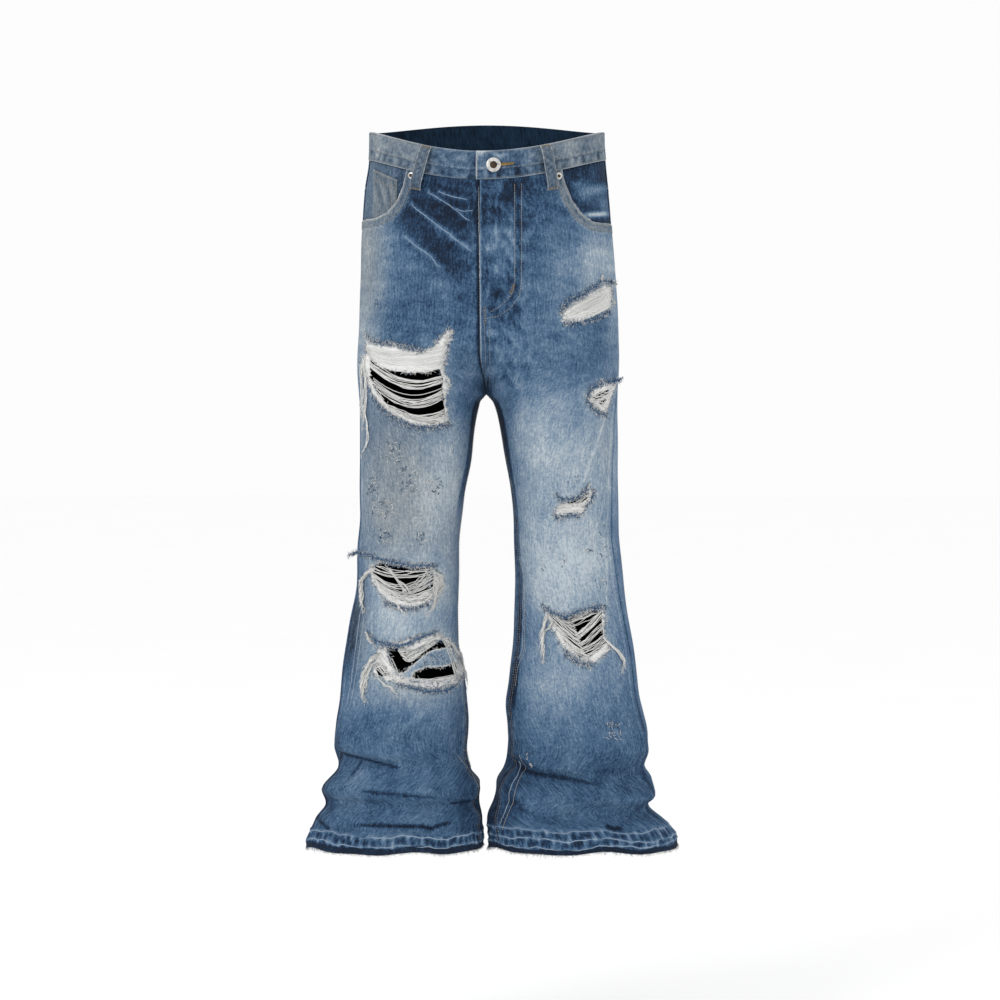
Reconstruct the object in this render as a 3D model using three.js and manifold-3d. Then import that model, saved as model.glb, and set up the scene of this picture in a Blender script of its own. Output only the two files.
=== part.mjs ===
// Ripped flared jeans, filled out as if worn and hollow inside. Millimetres, +Z up.
// The origin is the middle of the waist ring, half way up the waistband at the side.
// The wearer faces -Y, so the wearer's right leg is at -X.
import * as THREE from "three";
import { mergeVertices } from "three/addons/utils/BufferGeometryUtils.js";
import Module from "manifold-3d";

const wasm = await Module();
wasm.setup();

// ---------------------------------------------------------------- driving dimensions
const CLOTH = 1.6; // wall of one layer of denim
const GAP = 0.3; // room between neighbouring pieces
const LAYER_GAP = 0.9; // room between layers, which clears the flats of their facets
const BAND_HALF = 19; // half the waistband's height
const BAND_OUT = 0.7; // how far the waistband stands proud of the panels
const BAND_WALL = 3.0; // folded waistband
const TAB_REACH_X = 31; // the under end of the waistband stops here
const FLAP_EDGE_X = -14; // the over end of the waistband starts here
const BUTTON_X = 9;
const FRONT_DIP = 29.5; // the waist is lower at the centre front
const BACK_RISE = 15.5; // and higher at the centre back
const DIP_FADE_Z = -170; // below this height the dip is gone
const HEM_Z = -952;
const CROTCH_Z = -334;
const RISE_TURN_Z = -236; // below this the rise seam turns under
const RISE_SWEEP = 1.25; // more keeps the seam upright for longer
const CENTRE_X = -9; // the fly's edge stands a little to the wearer's right
const ROUNDNESS = 0.9; // 1 is an ellipse, less is squarer

// The outline of each leg from the front: [height, distance from the middle plane].
const RIGHT_OUTSEAM = [
  [19, -158], [-19, -159], [-60, -165], [-100, -168], [-176, -171], [-300, -174],
  [-372, -172], [-493, -172], [-543, -176], [-591, -178], [-651, -188], [-717, -198],
  [-782, -206], [-812, -210], [-840, -203], [-873, -226], [-892, -220], [-914, -236], [-952, -247],
];
const RIGHT_INSEAM = [
  [-334, -1], [-345, -11], [-424, -22], [-479, -33], [-540, -39], [-668, -40],
  [-693, -37], [-717, -31], [-794, -24], [-822, -27], [-846, -22], [-866, -11], [-886, -11],
  [-915, -4], [-952, -5],
];
const LEFT_OUTSEAM = [
  [19, 158], [-19, 160], [-60, 164], [-106, 168], [-192, 175], [-277, 180], [-333, 177],
  [-395, 178], [-520, 179], [-560, 182], [-645, 194], [-684, 200], [-767, 211], [-801, 220],
  [-818, 220], [-839, 215], [-857, 226], [-880, 229], [-892, 219], [-918, 245], [-937, 259], [-952, 262],
];
const LEFT_INSEAM = [
  [-334, -1], [-345, 9], [-368, 16], [-418, 24], [-464, 31], [-520, 36], [-602, 38],
  [-651, 36], [-734, 29], [-764, 26], [-800, 31], [-824, 25], [-846, 22], [-866, 15],
  [-886, 8], [-912, 2], [-952, 0],
];
// Depths of a general figure: [height, out to the front, out to the back].
const DEPTHS = [
  [19, 86, 88], [-19, 88, 92], [-100, 100, 118], [-180, 108, 132], [-260, 106, 128],
  [-334, 98, 108], [-420, 88, 96], [-520, 76, 84], [-620, 67, 73], [-720, 66, 72],
  [-800, 68, 74], [-870, 68, 75], [-952, 72, 78],
];
// How far the outseam is turned to the front, in degrees: [height, turn].
const OUTSEAM_TURN = {
  right: [[-19, 0], [-300, 0], [-420, 14], [-620, 16], [-780, 12], [-952, 8]],
  left: [[-19, 0], [-280, 4], [-380, 24], [-520, 34], [-640, 26], [-800, 20], [-952, 12]],
};
// How far the inseam is turned to the front below the crotch, in degrees.
const INSEAM_TURN = {
  right: [[-334, 0], [-420, 0], [-620, 0], [-760, 14], [-952, 16]],
  left: [[-334, 0], [-420, 8], [-620, 22], [-760, 18], [-952, 26]],
};
// Stacked folds of the lower legs. Each runs round the front or the back from the outseam (out)
// to the inseam (in): heights there, half width, depth (negative is a valley), and the stretch
// of the way round that it takes, 0 at the outseam and 1 at the inseam.
const FOLDS = {
  right: [
    { face: "front", out: -822, in: -842, half: 9, depth: -9, from: 0.0, to: 0.62 },
    { face: "front", out: -800, in: -775, half: 16, depth: 5, from: 0.1, to: 0.8 },
    { face: "front", out: -860, in: -868, half: 14, depth: 6, from: 0.1, to: 0.95 },
    { face: "front", out: -884, in: -892, half: 8, depth: -6, from: 0.05, to: 0.95 },
    { face: "front", out: -908, in: -912, half: 11, depth: 4, from: 0.1, to: 0.9 },
    { face: "front", out: -926, in: -918, half: 6, depth: -4, from: 0.2, to: 0.9 },
    { face: "back", out: -826, in: -836, half: 11, depth: -9, from: 0.1, to: 0.9 },
    { face: "back", out: -858, in: -866, half: 14, depth: 6, from: 0.1, to: 0.95 },
    { face: "back", out: -886, in: -894, half: 9, depth: -6, from: 0.05, to: 0.95 },
  ],
  left: [
    { face: "front", out: -858, in: -834, half: 9, depth: -9, from: 0.1, to: 1.0 },
    { face: "front", out: -806, in: -800, half: 18, depth: 5, from: 0.1, to: 0.8 },
    { face: "front", out: -884, in: -868, half: 15, depth: 6, from: 0.1, to: 0.9 },
    { face: "front", out: -902, in: -906, half: 9, depth: -4, from: 0.1, to: 0.6 },
    { face: "back", out: -838, in: -830, half: 11, depth: -9, from: 0.1, to: 0.9 },
    { face: "back", out: -866, in: -862, half: 14, depth: 6, from: 0.1, to: 0.95 },
    { face: "back", out: -892, in: -888, half: 9, depth: -6, from: 0.05, to: 0.95 },
  ],
};
// Edges of the pocket openings, from the waistband round to the outseam: [x, z].
const RIGHT_SCOOP = [[-104, 5], [-107, -38], [-111, -58], [-119, -77], [-133, -92], [-149, -99], [-178, -101]];
const LEFT_SCOOP = [[98, 5], [101, -42], [106, -58], [113, -75], [126, -93], [143, -104], [180, -106]];
// Rips cut right through the front panels: corner points of each hole, [x, z].
const RIGHT_RIPS = {
  thigh: [[-146, -297], [-112, -303], [-76, -308], [-60, -318], [-57, -352], [-76, -357], [-110, -353], [-134, -343], [-146, -325]],
  above_knee: [[-139, -565], [-104, -567], [-79, -580], [-81, -591], [-104, -586], [-130, -584]],
  knee: [[-144, -690], [-130, -668], [-103, -661], [-66, -661], [-52, -674], [-50, -711], [-72, -716], [-96, -712], [-126, -699]],
};
const LEFT_RIPS = {
  hip_side: [[140, -328], [156, -328], [150, -342], [141, -340]],
  thigh: [[104, -471], [127, -472], [126, -483], [108, -482]],
  knee: [[90, -622], [112, -634], [150, -628], [150, -655], [158, -676], [140, -684], [112, -672], [98, -652]],
};
const YOKE = { side: -56, centre: -92 }; // seam under the back yoke
const LOOP = { width: 13.5, wall: 1.5, slot: 6.2, top: 18.2, bottom: -44 };
const FACING_END_Z = -118;
const FLY = { bottom: -236, under: -24, over: 34 };

const COLOURS = {
  denim: 0x7c93ab, denimDark: 0x3f5f80, band: 0x8795a3, pocket: 0x6f8597, steel: 0xb9b9b4, copper: 0x8f8a84,
};

// ---------------------------------------------------------------- the form of the cloth
const lerp = THREE.MathUtils.lerp;
const clamp = THREE.MathUtils.clamp;
const radians = THREE.MathUtils.degToRad;
const smooth = (t) => THREE.MathUtils.smoothstep(t, 0, 1);

// A smooth curve through [height, value, ...] rows, listed from the top down.
function along(rows, z, column = 1) {
  const last = rows.length - 1;
  if (z >= rows[0][0]) return rows[0][column];
  if (z <= rows[last][0]) return rows[last][column];
  let i = 0;
  while (z < rows[i + 1][0]) i += 1;
  const slope = (a, b) => (rows[b][column] - rows[a][column]) / (rows[b][0] - rows[a][0]);
  const here = slope(i, i + 1);
  const before = i > 0 ? slope(i - 1, i) : here;
  const after = i + 1 < last ? slope(i + 1, i + 2) : here;
  const gentle = (a, b) => (a * b <= 0 ? 0 : (2 * a * b) / (a + b));
  const span = rows[i + 1][0] - rows[i][0];
  const t = (z - rows[i][0]) / span;
  const m0 = gentle(before, here) * span;
  const m1 = gentle(here, after) * span;
  const a = rows[i][column];
  const b = rows[i + 1][column];
  return a + m0 * t + (3 * (b - a) - 2 * m0 - m1) * t * t + (2 * (a - b) + m0 + m1) * t * t * t;
}

const LEGS = {
  right: { side: -1, outseam: RIGHT_OUTSEAM, inseam: RIGHT_INSEAM },
  left: { side: 1, outseam: LEFT_OUTSEAM, inseam: LEFT_INSEAM },
};

// How far the section goes round at this height: a quarter turn down to the seat, then a half turn.
function reach(z) {
  const k = clamp((RISE_TURN_Z - z) / (RISE_TURN_Z - CROTCH_Z), 0, 1);
  return (Math.PI / 2) * (1 + k ** RISE_SWEEP);
}

// Where the panel ends towards the middle: the rise seam, or the inseam below the crotch.
function innerX(leg, z, face) {
  const apart = (LEGS[leg].side * GAP) / 2;
  if (z <= CROTCH_Z) return along(LEGS[leg].inseam, z) + apart;
  const seam = face === "front" ? CENTRE_X : 0;
  const near = smooth((z - CROTCH_Z) / 60);
  return lerp(RIGHT_INSEAM[0][1], seam, near) + apart;
}

function foldDepth(leg, z, way, face) {
  let depth = 0;
  for (const fold of FOLDS[leg]) {
    if (fold.face !== face) continue;
    const middle = lerp(fold.out, fold.in, way);
    const across = (z - middle) / fold.half;
    const ease = 0.12;
    const along_it = smooth((way - fold.from) / ease + 0.5) * smooth((fold.to - way) / ease + 0.5);
    depth += fold.depth * Math.exp(-across * across) * along_it;
  }
  return depth;
}

// The bare section: angle 0 is the widest point of the side, a positive angle goes over the front.
function section(leg, z, angle) {
  const face = Math.sin(angle) >= 0 ? "front" : "back";
  const full = reach(z);
  const outer = along(LEGS[leg].outseam, z);
  const inner = innerX(leg, z, face);
  const x = outer + ((inner - outer) * (1 - Math.cos(angle))) / (1 - Math.cos(full));
  const depth = along(DEPTHS, z, face === "front" ? 1 : 2);
  const s = Math.abs(Math.sin(angle)) ** ROUNDNESS;
  return new THREE.Vector2(x, face === "front" ? -depth * s : depth * s);
}

// A point of the cloth, moved out from it by `out` along the section's own normal.
function place(leg, z, angle, out = 0) {
  const step = 0.004;
  const p = section(leg, z, angle);
  const a = section(leg, z, angle - step);
  const b = section(leg, z, angle + step);
  const tangent = b.sub(a).normalize();
  const normal = new THREE.Vector2(tangent.y, -tangent.x).multiplyScalar(-LEGS[leg].side);
  const face = Math.sin(angle) >= 0 ? "front" : "back";
  const way = Math.min(Math.abs(angle), 2 * Math.PI - Math.abs(angle)) / reach(z);
  p.addScaledVector(normal, out + foldDepth(leg, z, way, face));
  const round = Math.cos((Math.PI / 2) * Math.abs(Math.cos(angle)));
  const lift = face === "front" ? -FRONT_DIP * round : BACK_RISE * round;
  const fade = smooth((z - DIP_FADE_Z) / (-BAND_HALF - DIP_FADE_Z));
  return new THREE.Vector3(p.x, p.y, z + lift * fade);
}

// The angle at which the front, or the back, has this x.
function angleAt(leg, z, x, face = "front") {
  const outer = along(LEGS[leg].outseam, z);
  const inner = innerX(leg, z, face);
  const c = 1 - ((x - outer) * (1 - Math.cos(reach(z)))) / (inner - outer);
  const angle = Math.acos(clamp(c, -1, 1));
  return face === "front" ? angle : -angle;
}

// The turn that moves a point sideways by a distance on the cloth.
function turnFor(leg, z, angle, distance) {
  const step = 0.01;
  const a = section(leg, z, angle - step);
  const b = section(leg, z, angle + step);
  return (distance * 2 * step) / a.distanceTo(b);
}

// ---------------------------------------------------------------- making solids
// A closed wall between an outer and an inner grid of points.
function wall(outer, inner) {
  const rows = outer.length;
  const columns = outer[0].length;
  const points = [...outer.flat(), ...inner.flat()];
  const o = (i, j) => i * columns + j;
  const n = (i, j) => rows * columns + o(i, j);
  const index = [];
  const quad = (a, b, c, d) => index.push(a, b, c, a, c, d);
  for (let i = 0; i + 1 < rows; i += 1) {
    for (let j = 0; j + 1 < columns; j += 1) {
      quad(o(i, j), o(i + 1, j), o(i + 1, j + 1), o(i, j + 1));
      quad(n(i, j), n(i, j + 1), n(i + 1, j + 1), n(i + 1, j));
    }
    quad(o(i, 0), n(i, 0), n(i + 1, 0), o(i + 1, 0));
    quad(o(i, columns - 1), o(i + 1, columns - 1), n(i + 1, columns - 1), n(i, columns - 1));
  }
  for (let j = 0; j + 1 < columns; j += 1) {
    quad(o(0, j), o(0, j + 1), n(0, j + 1), n(0, j));
    quad(o(rows - 1, j), n(rows - 1, j), n(rows - 1, j + 1), o(rows - 1, j + 1));
  }
  let volume = 0;
  for (let t = 0; t < index.length; t += 3) {
    const [a, b, c] = [points[index[t]], points[index[t + 1]], points[index[t + 2]]];
    volume += a.dot(new THREE.Vector3().crossVectors(b, c));
  }
  if (volume < 0) index.reverse();
  const geometry = new THREE.BufferGeometry().setFromPoints(points);
  geometry.setIndex(index);
  return geometry;
}

// A piece of cloth from rows of places {leg, z, angle, low, high}, high being its outer face.
function cloth(grid) {
  const face = (side) => grid.map((row) => row.map((p) => place(p.leg, p.z, p.angle, p[side])));
  return wall(face("high"), face("low"));
}

function toManifold(geometry) {
  const bare = geometry.clone();
  bare.deleteAttribute("normal");
  bare.deleteAttribute("uv");
  const merged = mergeVertices(bare, 1e-4);
  return new wasm.Manifold(
    new wasm.Mesh({
      numProp: 3,
      vertProperties: new Float32Array(merged.attributes.position.array),
      triVerts: new Uint32Array(merged.index.array),
    }),
  );
}

function toGeometry(solid) {
  const { vertProperties, triVerts } = solid.getMesh();
  const geometry = new THREE.BufferGeometry();
  geometry.setAttribute("position", new THREE.BufferAttribute(vertProperties, 3));
  geometry.setIndex(new THREE.BufferAttribute(triVerts, 1));
  return geometry;
}

// A cutter with this outline from the front, from far in front of the garment to the side seams.
function cutter(outline, back = -4) {
  const reachFront = 190;
  const shape = new THREE.Shape(outline.map(([x, z]) => new THREE.Vector2(x, z)));
  const geometry = new THREE.ExtrudeGeometry(shape, { depth: reachFront + back, bevelEnabled: false });
  geometry.rotateX(Math.PI / 2); // the outline's second axis now points up
  geometry.translate(0, back, 0);
  return geometry;
}

const group = new THREE.Group();
function add(name, geometry, color, roughness = 0.9, metalness = 0) {
  const material = new THREE.MeshStandardMaterial({ color, roughness, metalness });
  const mesh = new THREE.Mesh(geometry, material);
  mesh.name = name;
  group.add(mesh);
  return mesh;
}

// ---------------------------------------------------------------- the leg panels
const ROWS_BODY = [-60, -95, -130, -170, -210, RISE_TURN_Z, -260, -282, -302, -320];
const ROWS_LEG = [CROTCH_Z, -345, -372, -405, -440, -480, -520, -560, -600, -640, -680, -715, -745, -770];
const ROWS_STACK = [-787, -800, -812, -823, -834, -845, -857, -869, -880, -890, -900, -912, -925, -938, HEM_Z];
const ROWS_BELOW = [...ROWS_BODY, ...ROWS_LEG, ...ROWS_STACK];
const COLUMNS = 11;
const SEAM_TURN = 0.0024; // half a seam's gap, as a turn

function seamTurns(leg, z) {
  return {
    outseam: radians(along(OUTSEAM_TURN[leg], z)),
    inseam: z <= CROTCH_Z ? radians(along(INSEAM_TURN[leg], z)) : 0,
  };
}

function frontPanel(leg, scoop, rips) {
  const heights = [-BAND_HALF - GAP, ...ROWS_BELOW];
  const grid = heights.map((z) => {
    const turn = seamTurns(leg, z);
    const start = turn.outseam + SEAM_TURN;
    const end = reach(z) - turn.inseam - (z <= RISE_TURN_Z ? SEAM_TURN : 0);
    return Array.from({ length: COLUMNS }, (_, j) => {
      const angle = lerp(start, end, j / (COLUMNS - 1));
      return { leg, z, angle, low: -CLOTH, high: 0 };
    });
  });
  let solid = toManifold(cloth(grid));
  const side = LEGS[leg].side;
  const corner = [[side * 230, scoop.at(-1)[1]], [side * 230, scoop[0][1]]];
  solid = solid.subtract(toManifold(cutter([...scoop, ...corner], 6)));
  for (const outline of Object.values(rips)) solid = solid.subtract(toManifold(cutter(outline)));
  return toGeometry(solid);
}

const yokeSeam = (angle) => lerp(YOKE.side, YOKE.centre, Math.sin(Math.abs(angle)) ** 1.5);

function backPanel(leg) {
  const heights = [null, ...ROWS_BELOW.slice(2)];
  const grid = heights.map((z) => {
    const level = z ?? -75;
    const turn = seamTurns(leg, level);
    const start = turn.outseam - SEAM_TURN;
    const end = -(reach(level) + turn.inseam) + (level <= RISE_TURN_Z ? SEAM_TURN : 0);
    return Array.from({ length: COLUMNS }, (_, j) => {
      const angle = lerp(start, end, j / (COLUMNS - 1));
      return { leg, z: z ?? yokeSeam(angle) - GAP, angle, low: -CLOTH, high: 0 };
    });
  });
  return cloth(grid);
}

function backYoke(leg) {
  const levels = 3;
  const grid = Array.from({ length: levels }, (_, i) =>
    Array.from({ length: COLUMNS }, (_, j) => {
      const angle = lerp(-SEAM_TURN, -Math.PI / 2, j / (COLUMNS - 1));
      const z = lerp(-BAND_HALF - GAP, yokeSeam(angle), i / (levels - 1));
      return { leg, z, angle, low: -CLOTH, high: 0 };
    }),
  );
  return cloth(grid);
}

add("front_panel_right", frontPanel("right", RIGHT_SCOOP, RIGHT_RIPS), COLOURS.denim);
add("front_panel_left", frontPanel("left", LEFT_SCOOP, LEFT_RIPS), COLOURS.denim);
for (const leg of ["right", "left"]) {
  add(`back_panel_${leg}`, backPanel(leg), COLOURS.denim);
  add(`back_yoke_${leg}`, backYoke(leg), COLOURS.denim);
}

// ---------------------------------------------------------------- pockets
// The facing shows inside the scoop; the coin pocket lies on the right one, under the front panel.
const UNDER_PANEL = -CLOTH - LAYER_GAP;
const COIN = { wall: 1.2, top: -42, slope: -6, fromX: -155, toX: -121, bottom: -112 };

function pocketFacing(leg, nearX, high) {
  const heights = [-BAND_HALF - GAP, -45, -70, -95, FACING_END_Z];
  const columns = 11;
  return cloth(
    heights.map((z) => {
      const end = angleAt(leg, z, nearX);
      return Array.from({ length: columns }, (_, j) => {
        const angle = lerp(0.02, end, j / (columns - 1));
        return { leg, z, angle, low: high - CLOTH, high };
      });
    }),
  );
}

function coinPocket() {
  const levels = 4;
  const columns = 5;
  return cloth(
    Array.from({ length: levels }, (_, i) =>
      Array.from({ length: columns }, (_, j) => {
        const x = lerp(COIN.fromX, COIN.toX, j / (columns - 1));
        const top = COIN.top + (COIN.slope * j) / (columns - 1);
        const z = lerp(top + 12, COIN.bottom, i / (levels - 1));
        const angle = angleAt("right", z, x);
        return { leg: "right", z, angle, low: UNDER_PANEL - COIN.wall, high: UNDER_PANEL };
      }),
    ),
  );
}

function backPocket(leg) {
  const levels = 6;
  const columns = 7;
  const span = [0.34, 0.88]; // of the way from the outseam to the centre back
  const lift = 1.8;
  return cloth(
    Array.from({ length: levels }, (_, i) =>
      Array.from({ length: columns }, (_, j) => {
        const across = j / (columns - 1);
        const down = i / (levels - 1);
        const taper = lerp(0, 0.03, down);
        const way = lerp(span[0] + taper, span[1] - taper, across);
        const point = 20 * (1 - Math.abs(2 * across - 1));
        const z = lerp(-108 - 6 * across, -248 - point, down);
        const angle = -way * reach(z);
        return { leg, z, angle, low: lift, high: lift + CLOTH };
      }),
    ),
  );
}

add("pocket_facing_right", pocketFacing("right", -94, UNDER_PANEL - COIN.wall - LAYER_GAP), COLOURS.pocket);
add("pocket_facing_left", pocketFacing("left", 88, UNDER_PANEL), COLOURS.denimDark);
add("coin_pocket", coinPocket(), COLOURS.pocket);
add("back_pocket_right", backPocket("right"), COLOURS.denim);
add("back_pocket_left", backPocket("left"), COLOURS.denim);

// ---------------------------------------------------------------- fly shield
function flyShield() {
  const heights = [-BAND_HALF - GAP, -60, -110, -160, -205, FLY.bottom];
  const xs = [FLY.under, -16, CENTRE_X, 0, 12, 24, FLY.over];
  return cloth(
    heights.map((z) =>
      xs.map((x) => {
        const leg = x < CENTRE_X ? "right" : "left";
        const narrowed = x > 0 ? x * (1 - 0.35 * smooth((-190 - z) / 46)) : x;
        const angle = x === CENTRE_X ? Math.PI / 2 : angleAt(leg, z, narrowed);
        return { leg, z, angle, low: UNDER_PANEL - CLOTH, high: UNDER_PANEL };
      }),
    ),
  );
}
add("fly_shield", flyShield(), COLOURS.denimDark);

// ---------------------------------------------------------------- waistband
// One strip from its over end at the fly, round the back, to the tab under that end.
function waistband() {
  const quarter = Math.PI / 2;
  const path = [];
  const from = angleAt("right", 0, FLAP_EDGE_X);
  path.push({ leg: "right", angle: from, under: 0 });
  const stepsRound = 13;
  for (let i = 0; i <= 2 * stepsRound; i += 1)
    path.push({ leg: "left", angle: lerp(quarter, -quarter, i / (2 * stepsRound)), under: 0 });
  for (let i = 1; i <= 2 * stepsRound; i += 1) {
    const angle = lerp(-quarter, quarter, i / (2 * stepsRound));
    const under = smooth((angle - from + 0.3) / 0.26);
    path.push({ leg: "right", angle, under });
  }
  const tabEnd = angleAt("left", 0, TAB_REACH_X);
  for (const t of [0.5, 1]) path.push({ leg: "left", angle: lerp(quarter, tabEnd, t), under: 1 });
  const heights = [BAND_HALF, 0, -BAND_HALF];
  return cloth(
    heights.map((z) =>
      path.map(({ leg, angle, under }) => {
        const high = BAND_OUT - under * (BAND_WALL + GAP);
        return { leg, z, angle, low: high - BAND_WALL, high };
      }),
    ),
  );
}

const BUTTON = { radius: 9.6, thick: 2.6, shank: 2.2, hollow: 4.4, sink: 1.3 };
function onFront(geometry, leg, z, x, out) {
  const angle = angleAt(leg, z, x);
  const foot = place(leg, z, angle, out);
  const outward = place(leg, z, angle, out + 1).sub(foot).normalize();
  geometry.applyQuaternion(new THREE.Quaternion().setFromUnitVectors(new THREE.Vector3(0, 1, 0), outward));
  geometry.translate(foot.x, foot.y, foot.z);
  return geometry;
}

function waistButton() {
  const { radius, thick, shank, hollow, sink } = BUTTON;
  const profile = [
    [0, -BAND_WALL - GAP + 0.3], [shank, -BAND_WALL - GAP + 0.3], [shank, 0], [radius - 1.2, 0], [radius, 0.9],
    [radius - 0.3, thick - 0.7], [radius - 1.6, thick], [hollow + 0.8, thick], [hollow, thick - 0.4],
    [hollow - 0.3, thick - sink], [0, thick - sink],
  ].map(([r, y]) => new THREE.Vector2(r, y));
  return onFront(new THREE.LatheGeometry(profile, 28), "left", 0, BUTTON_X, BAND_OUT + LAYER_GAP);
}

function buttonhole() {
  const slot = new THREE.BoxGeometry(15, 12, 5.4);
  const foot = place("left", 0, angleAt("left", 0, BUTTON_X), BAND_OUT - BAND_WALL / 2);
  const depthClear = 12 / 2 - BAND_WALL / 2 - GAP / 2;
  slot.translate(foot.x + 3.5, foot.y - depthClear, foot.z);
  return slot;
}

const bandSolid = toManifold(waistband()).subtract(toManifold(buttonhole()));
add("waistband", toGeometry(bandSolid), COLOURS.band);
add("waist_button", waistButton(), COLOURS.steel, 0.35, 0.9);

function rivet() {
  const profile = [[0, 0], [4.4, 0], [4.6, 0.5], [3.9, 1.3], [2.2, 1.7], [1.6, 1.4], [0, 1.3]];
  return new THREE.LatheGeometry(profile.map(([r, y]) => new THREE.Vector2(r, y)), 20);
}
add("rivet_right", onFront(rivet(), "right", -25.4, -100, LAYER_GAP), COLOURS.steel, 0.4, 0.8);
add("rivet_left", onFront(rivet(), "left", -26.5, 95.5, LAYER_GAP), COLOURS.copper, 0.4, 0.8);

// ---------------------------------------------------------------- belt loops
// A loop bows away from the band to leave a slot, and lies on the cloth at both ends.
function beltLoop(columnAt) {
  const levels = 10;
  return cloth(
    Array.from({ length: levels + 1 }, (_, i) => {
      const t = i / levels;
      const z = lerp(LOOP.top, LOOP.bottom, t);
      const bow = Math.min(1, Math.sin(Math.PI * t) * 2.1) ** 0.8;
      const rest = BAND_OUT + GAP;
      const low = rest + LOOP.slot * bow;
      return [-1, 0, 1].map((side) => ({ ...columnAt(side, z, t), z, low, high: low + LOOP.wall }));
    }),
  );
}

const frontLoop = (leg, topX, bottomX) =>
  beltLoop((side, z, t) => {
    const x = lerp(topX, bottomX, t) + (side * LOOP.width) / 2;
    return { leg, angle: angleAt(leg, z, x) };
  });
const backLoop = (leg, angle) =>
  beltLoop((side, z) => ({ leg, angle: angle + turnFor(leg, z, angle, (side * LOOP.width) / 2) }));
const centreLoop = () =>
  beltLoop((side, z) => {
    const turn = turnFor("right", z, -Math.PI / 2 + 0.05, LOOP.width / 2);
    return { leg: side < 0 ? "right" : "left", angle: -Math.PI / 2 + Math.abs(side) * turn };
  });

add("belt_loop_1", frontLoop("right", -79, -94), COLOURS.denim);
add("belt_loop_2", frontLoop("left", 77, 87), COLOURS.denim);
add("belt_loop_3", backLoop("right", -0.72), COLOURS.denim);
add("belt_loop_4", backLoop("left", -0.72), COLOURS.denim);
add("belt_loop_5", centreLoop(), COLOURS.denim);

export default group;
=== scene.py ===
"""Ripped flared jeans, filled out and hollow: washed denim, torn holes, stitching and a raw hem."""
import logging
import math
from dataclasses import dataclass, field
from enum import Enum
from typing import Iterable, Sequence

import bmesh
import bpy
import numpy as np
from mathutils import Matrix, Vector


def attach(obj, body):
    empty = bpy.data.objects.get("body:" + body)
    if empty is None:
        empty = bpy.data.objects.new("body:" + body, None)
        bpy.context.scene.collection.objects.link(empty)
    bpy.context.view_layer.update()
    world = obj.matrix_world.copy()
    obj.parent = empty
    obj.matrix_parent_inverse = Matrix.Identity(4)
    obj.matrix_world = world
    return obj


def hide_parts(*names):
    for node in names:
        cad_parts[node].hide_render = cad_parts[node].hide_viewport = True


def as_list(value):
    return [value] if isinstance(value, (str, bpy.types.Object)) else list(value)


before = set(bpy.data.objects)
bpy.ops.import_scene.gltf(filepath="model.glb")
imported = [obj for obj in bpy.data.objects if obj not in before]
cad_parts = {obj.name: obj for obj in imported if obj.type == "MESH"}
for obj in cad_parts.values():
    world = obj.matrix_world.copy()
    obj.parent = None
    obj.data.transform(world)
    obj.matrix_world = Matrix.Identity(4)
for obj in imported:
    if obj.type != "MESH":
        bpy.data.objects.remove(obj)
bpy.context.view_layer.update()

LOG = logging.getLogger("jeans")
MM = 0.001
Array = np.ndarray
Points = Sequence[tuple[float, float]]
RNG_SEED = 7
TINY = 1e-9
FIT_ROUNDS = 4

# ------------------------------------------------------------------ the cut, in millimetres
BAND_HALF = 19.0
BAND_OUT = 0.7
BAND_WALL = 3.0
TAB_REACH_X = 31.0
FLAP_EDGE_X = -14.0
FRONT_DIP = 29.5
BACK_RISE = 15.5
DIP_FADE_Z = -170.0
HEM_Z = -952.0
CROTCH_Z = -334.0
RISE_TURN_Z = -236.0
RISE_SWEEP = 1.25
CENTRE_X = -9.0
ROUNDNESS = 0.9
CLOTH = 1.3
CLOTH_TOP_Z = -BAND_HALF - 0.3
HEM_ROWS_TOP_Z = -914.0
YOKE_SIDE = -56.0
YOKE_CENTRE = -92.0
RIGHT_SCOOP = [(-104, 5), (-107, -38), (-111, -58), (-119, -77), (-133, -92), (-149, -99), (-178, -101)]
LEFT_SCOOP = [(98, 5), (101, -42), (106, -58), (113, -75), (126, -93), (143, -104), (180, -106)]

RIGHT_OUTSEAM = [
    (19, -158), (-19, -159), (-60, -165), (-100, -168), (-176, -171), (-300, -174),
    (-372, -172), (-493, -172), (-543, -176), (-591, -178), (-651, -188), (-717, -198),
    (-782, -206), (-812, -210), (-840, -203), (-873, -226), (-892, -220), (-914, -236), (-952, -247),
]
RIGHT_INSEAM = [
    (-334, -1), (-345, -11), (-424, -22), (-479, -33), (-540, -39), (-668, -40),
    (-693, -37), (-717, -31), (-794, -24), (-822, -27), (-846, -22), (-866, -11), (-886, -11),
    (-915, -4), (-952, -5),
]
LEFT_OUTSEAM = [
    (19, 158), (-19, 160), (-60, 164), (-106, 168), (-192, 175), (-277, 180), (-333, 177),
    (-395, 178), (-520, 179), (-560, 182), (-645, 194), (-684, 200), (-767, 211), (-801, 220),
    (-818, 220), (-839, 215), (-857, 226), (-880, 229), (-892, 219), (-918, 245), (-937, 259), (-952, 262),
]
LEFT_INSEAM = [
    (-334, -1), (-345, 9), (-368, 16), (-418, 24), (-464, 31), (-520, 36), (-602, 38),
    (-651, 36), (-734, 29), (-764, 26), (-800, 31), (-824, 25), (-846, 22), (-866, 15),
    (-886, 8), (-912, 2), (-952, 0),
]
FRONT_DEPTH = [
    (19, 86), (-19, 88), (-100, 100), (-180, 108), (-260, 106), (-334, 98), (-420, 88),
    (-520, 76), (-620, 67), (-720, 66), (-800, 68), (-870, 68), (-952, 72),
]
BACK_DEPTH = [
    (19, 88), (-19, 92), (-100, 118), (-180, 132), (-260, 128), (-334, 108), (-420, 96),
    (-520, 84), (-620, 73), (-720, 72), (-800, 74), (-870, 75), (-952, 78),
]


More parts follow.
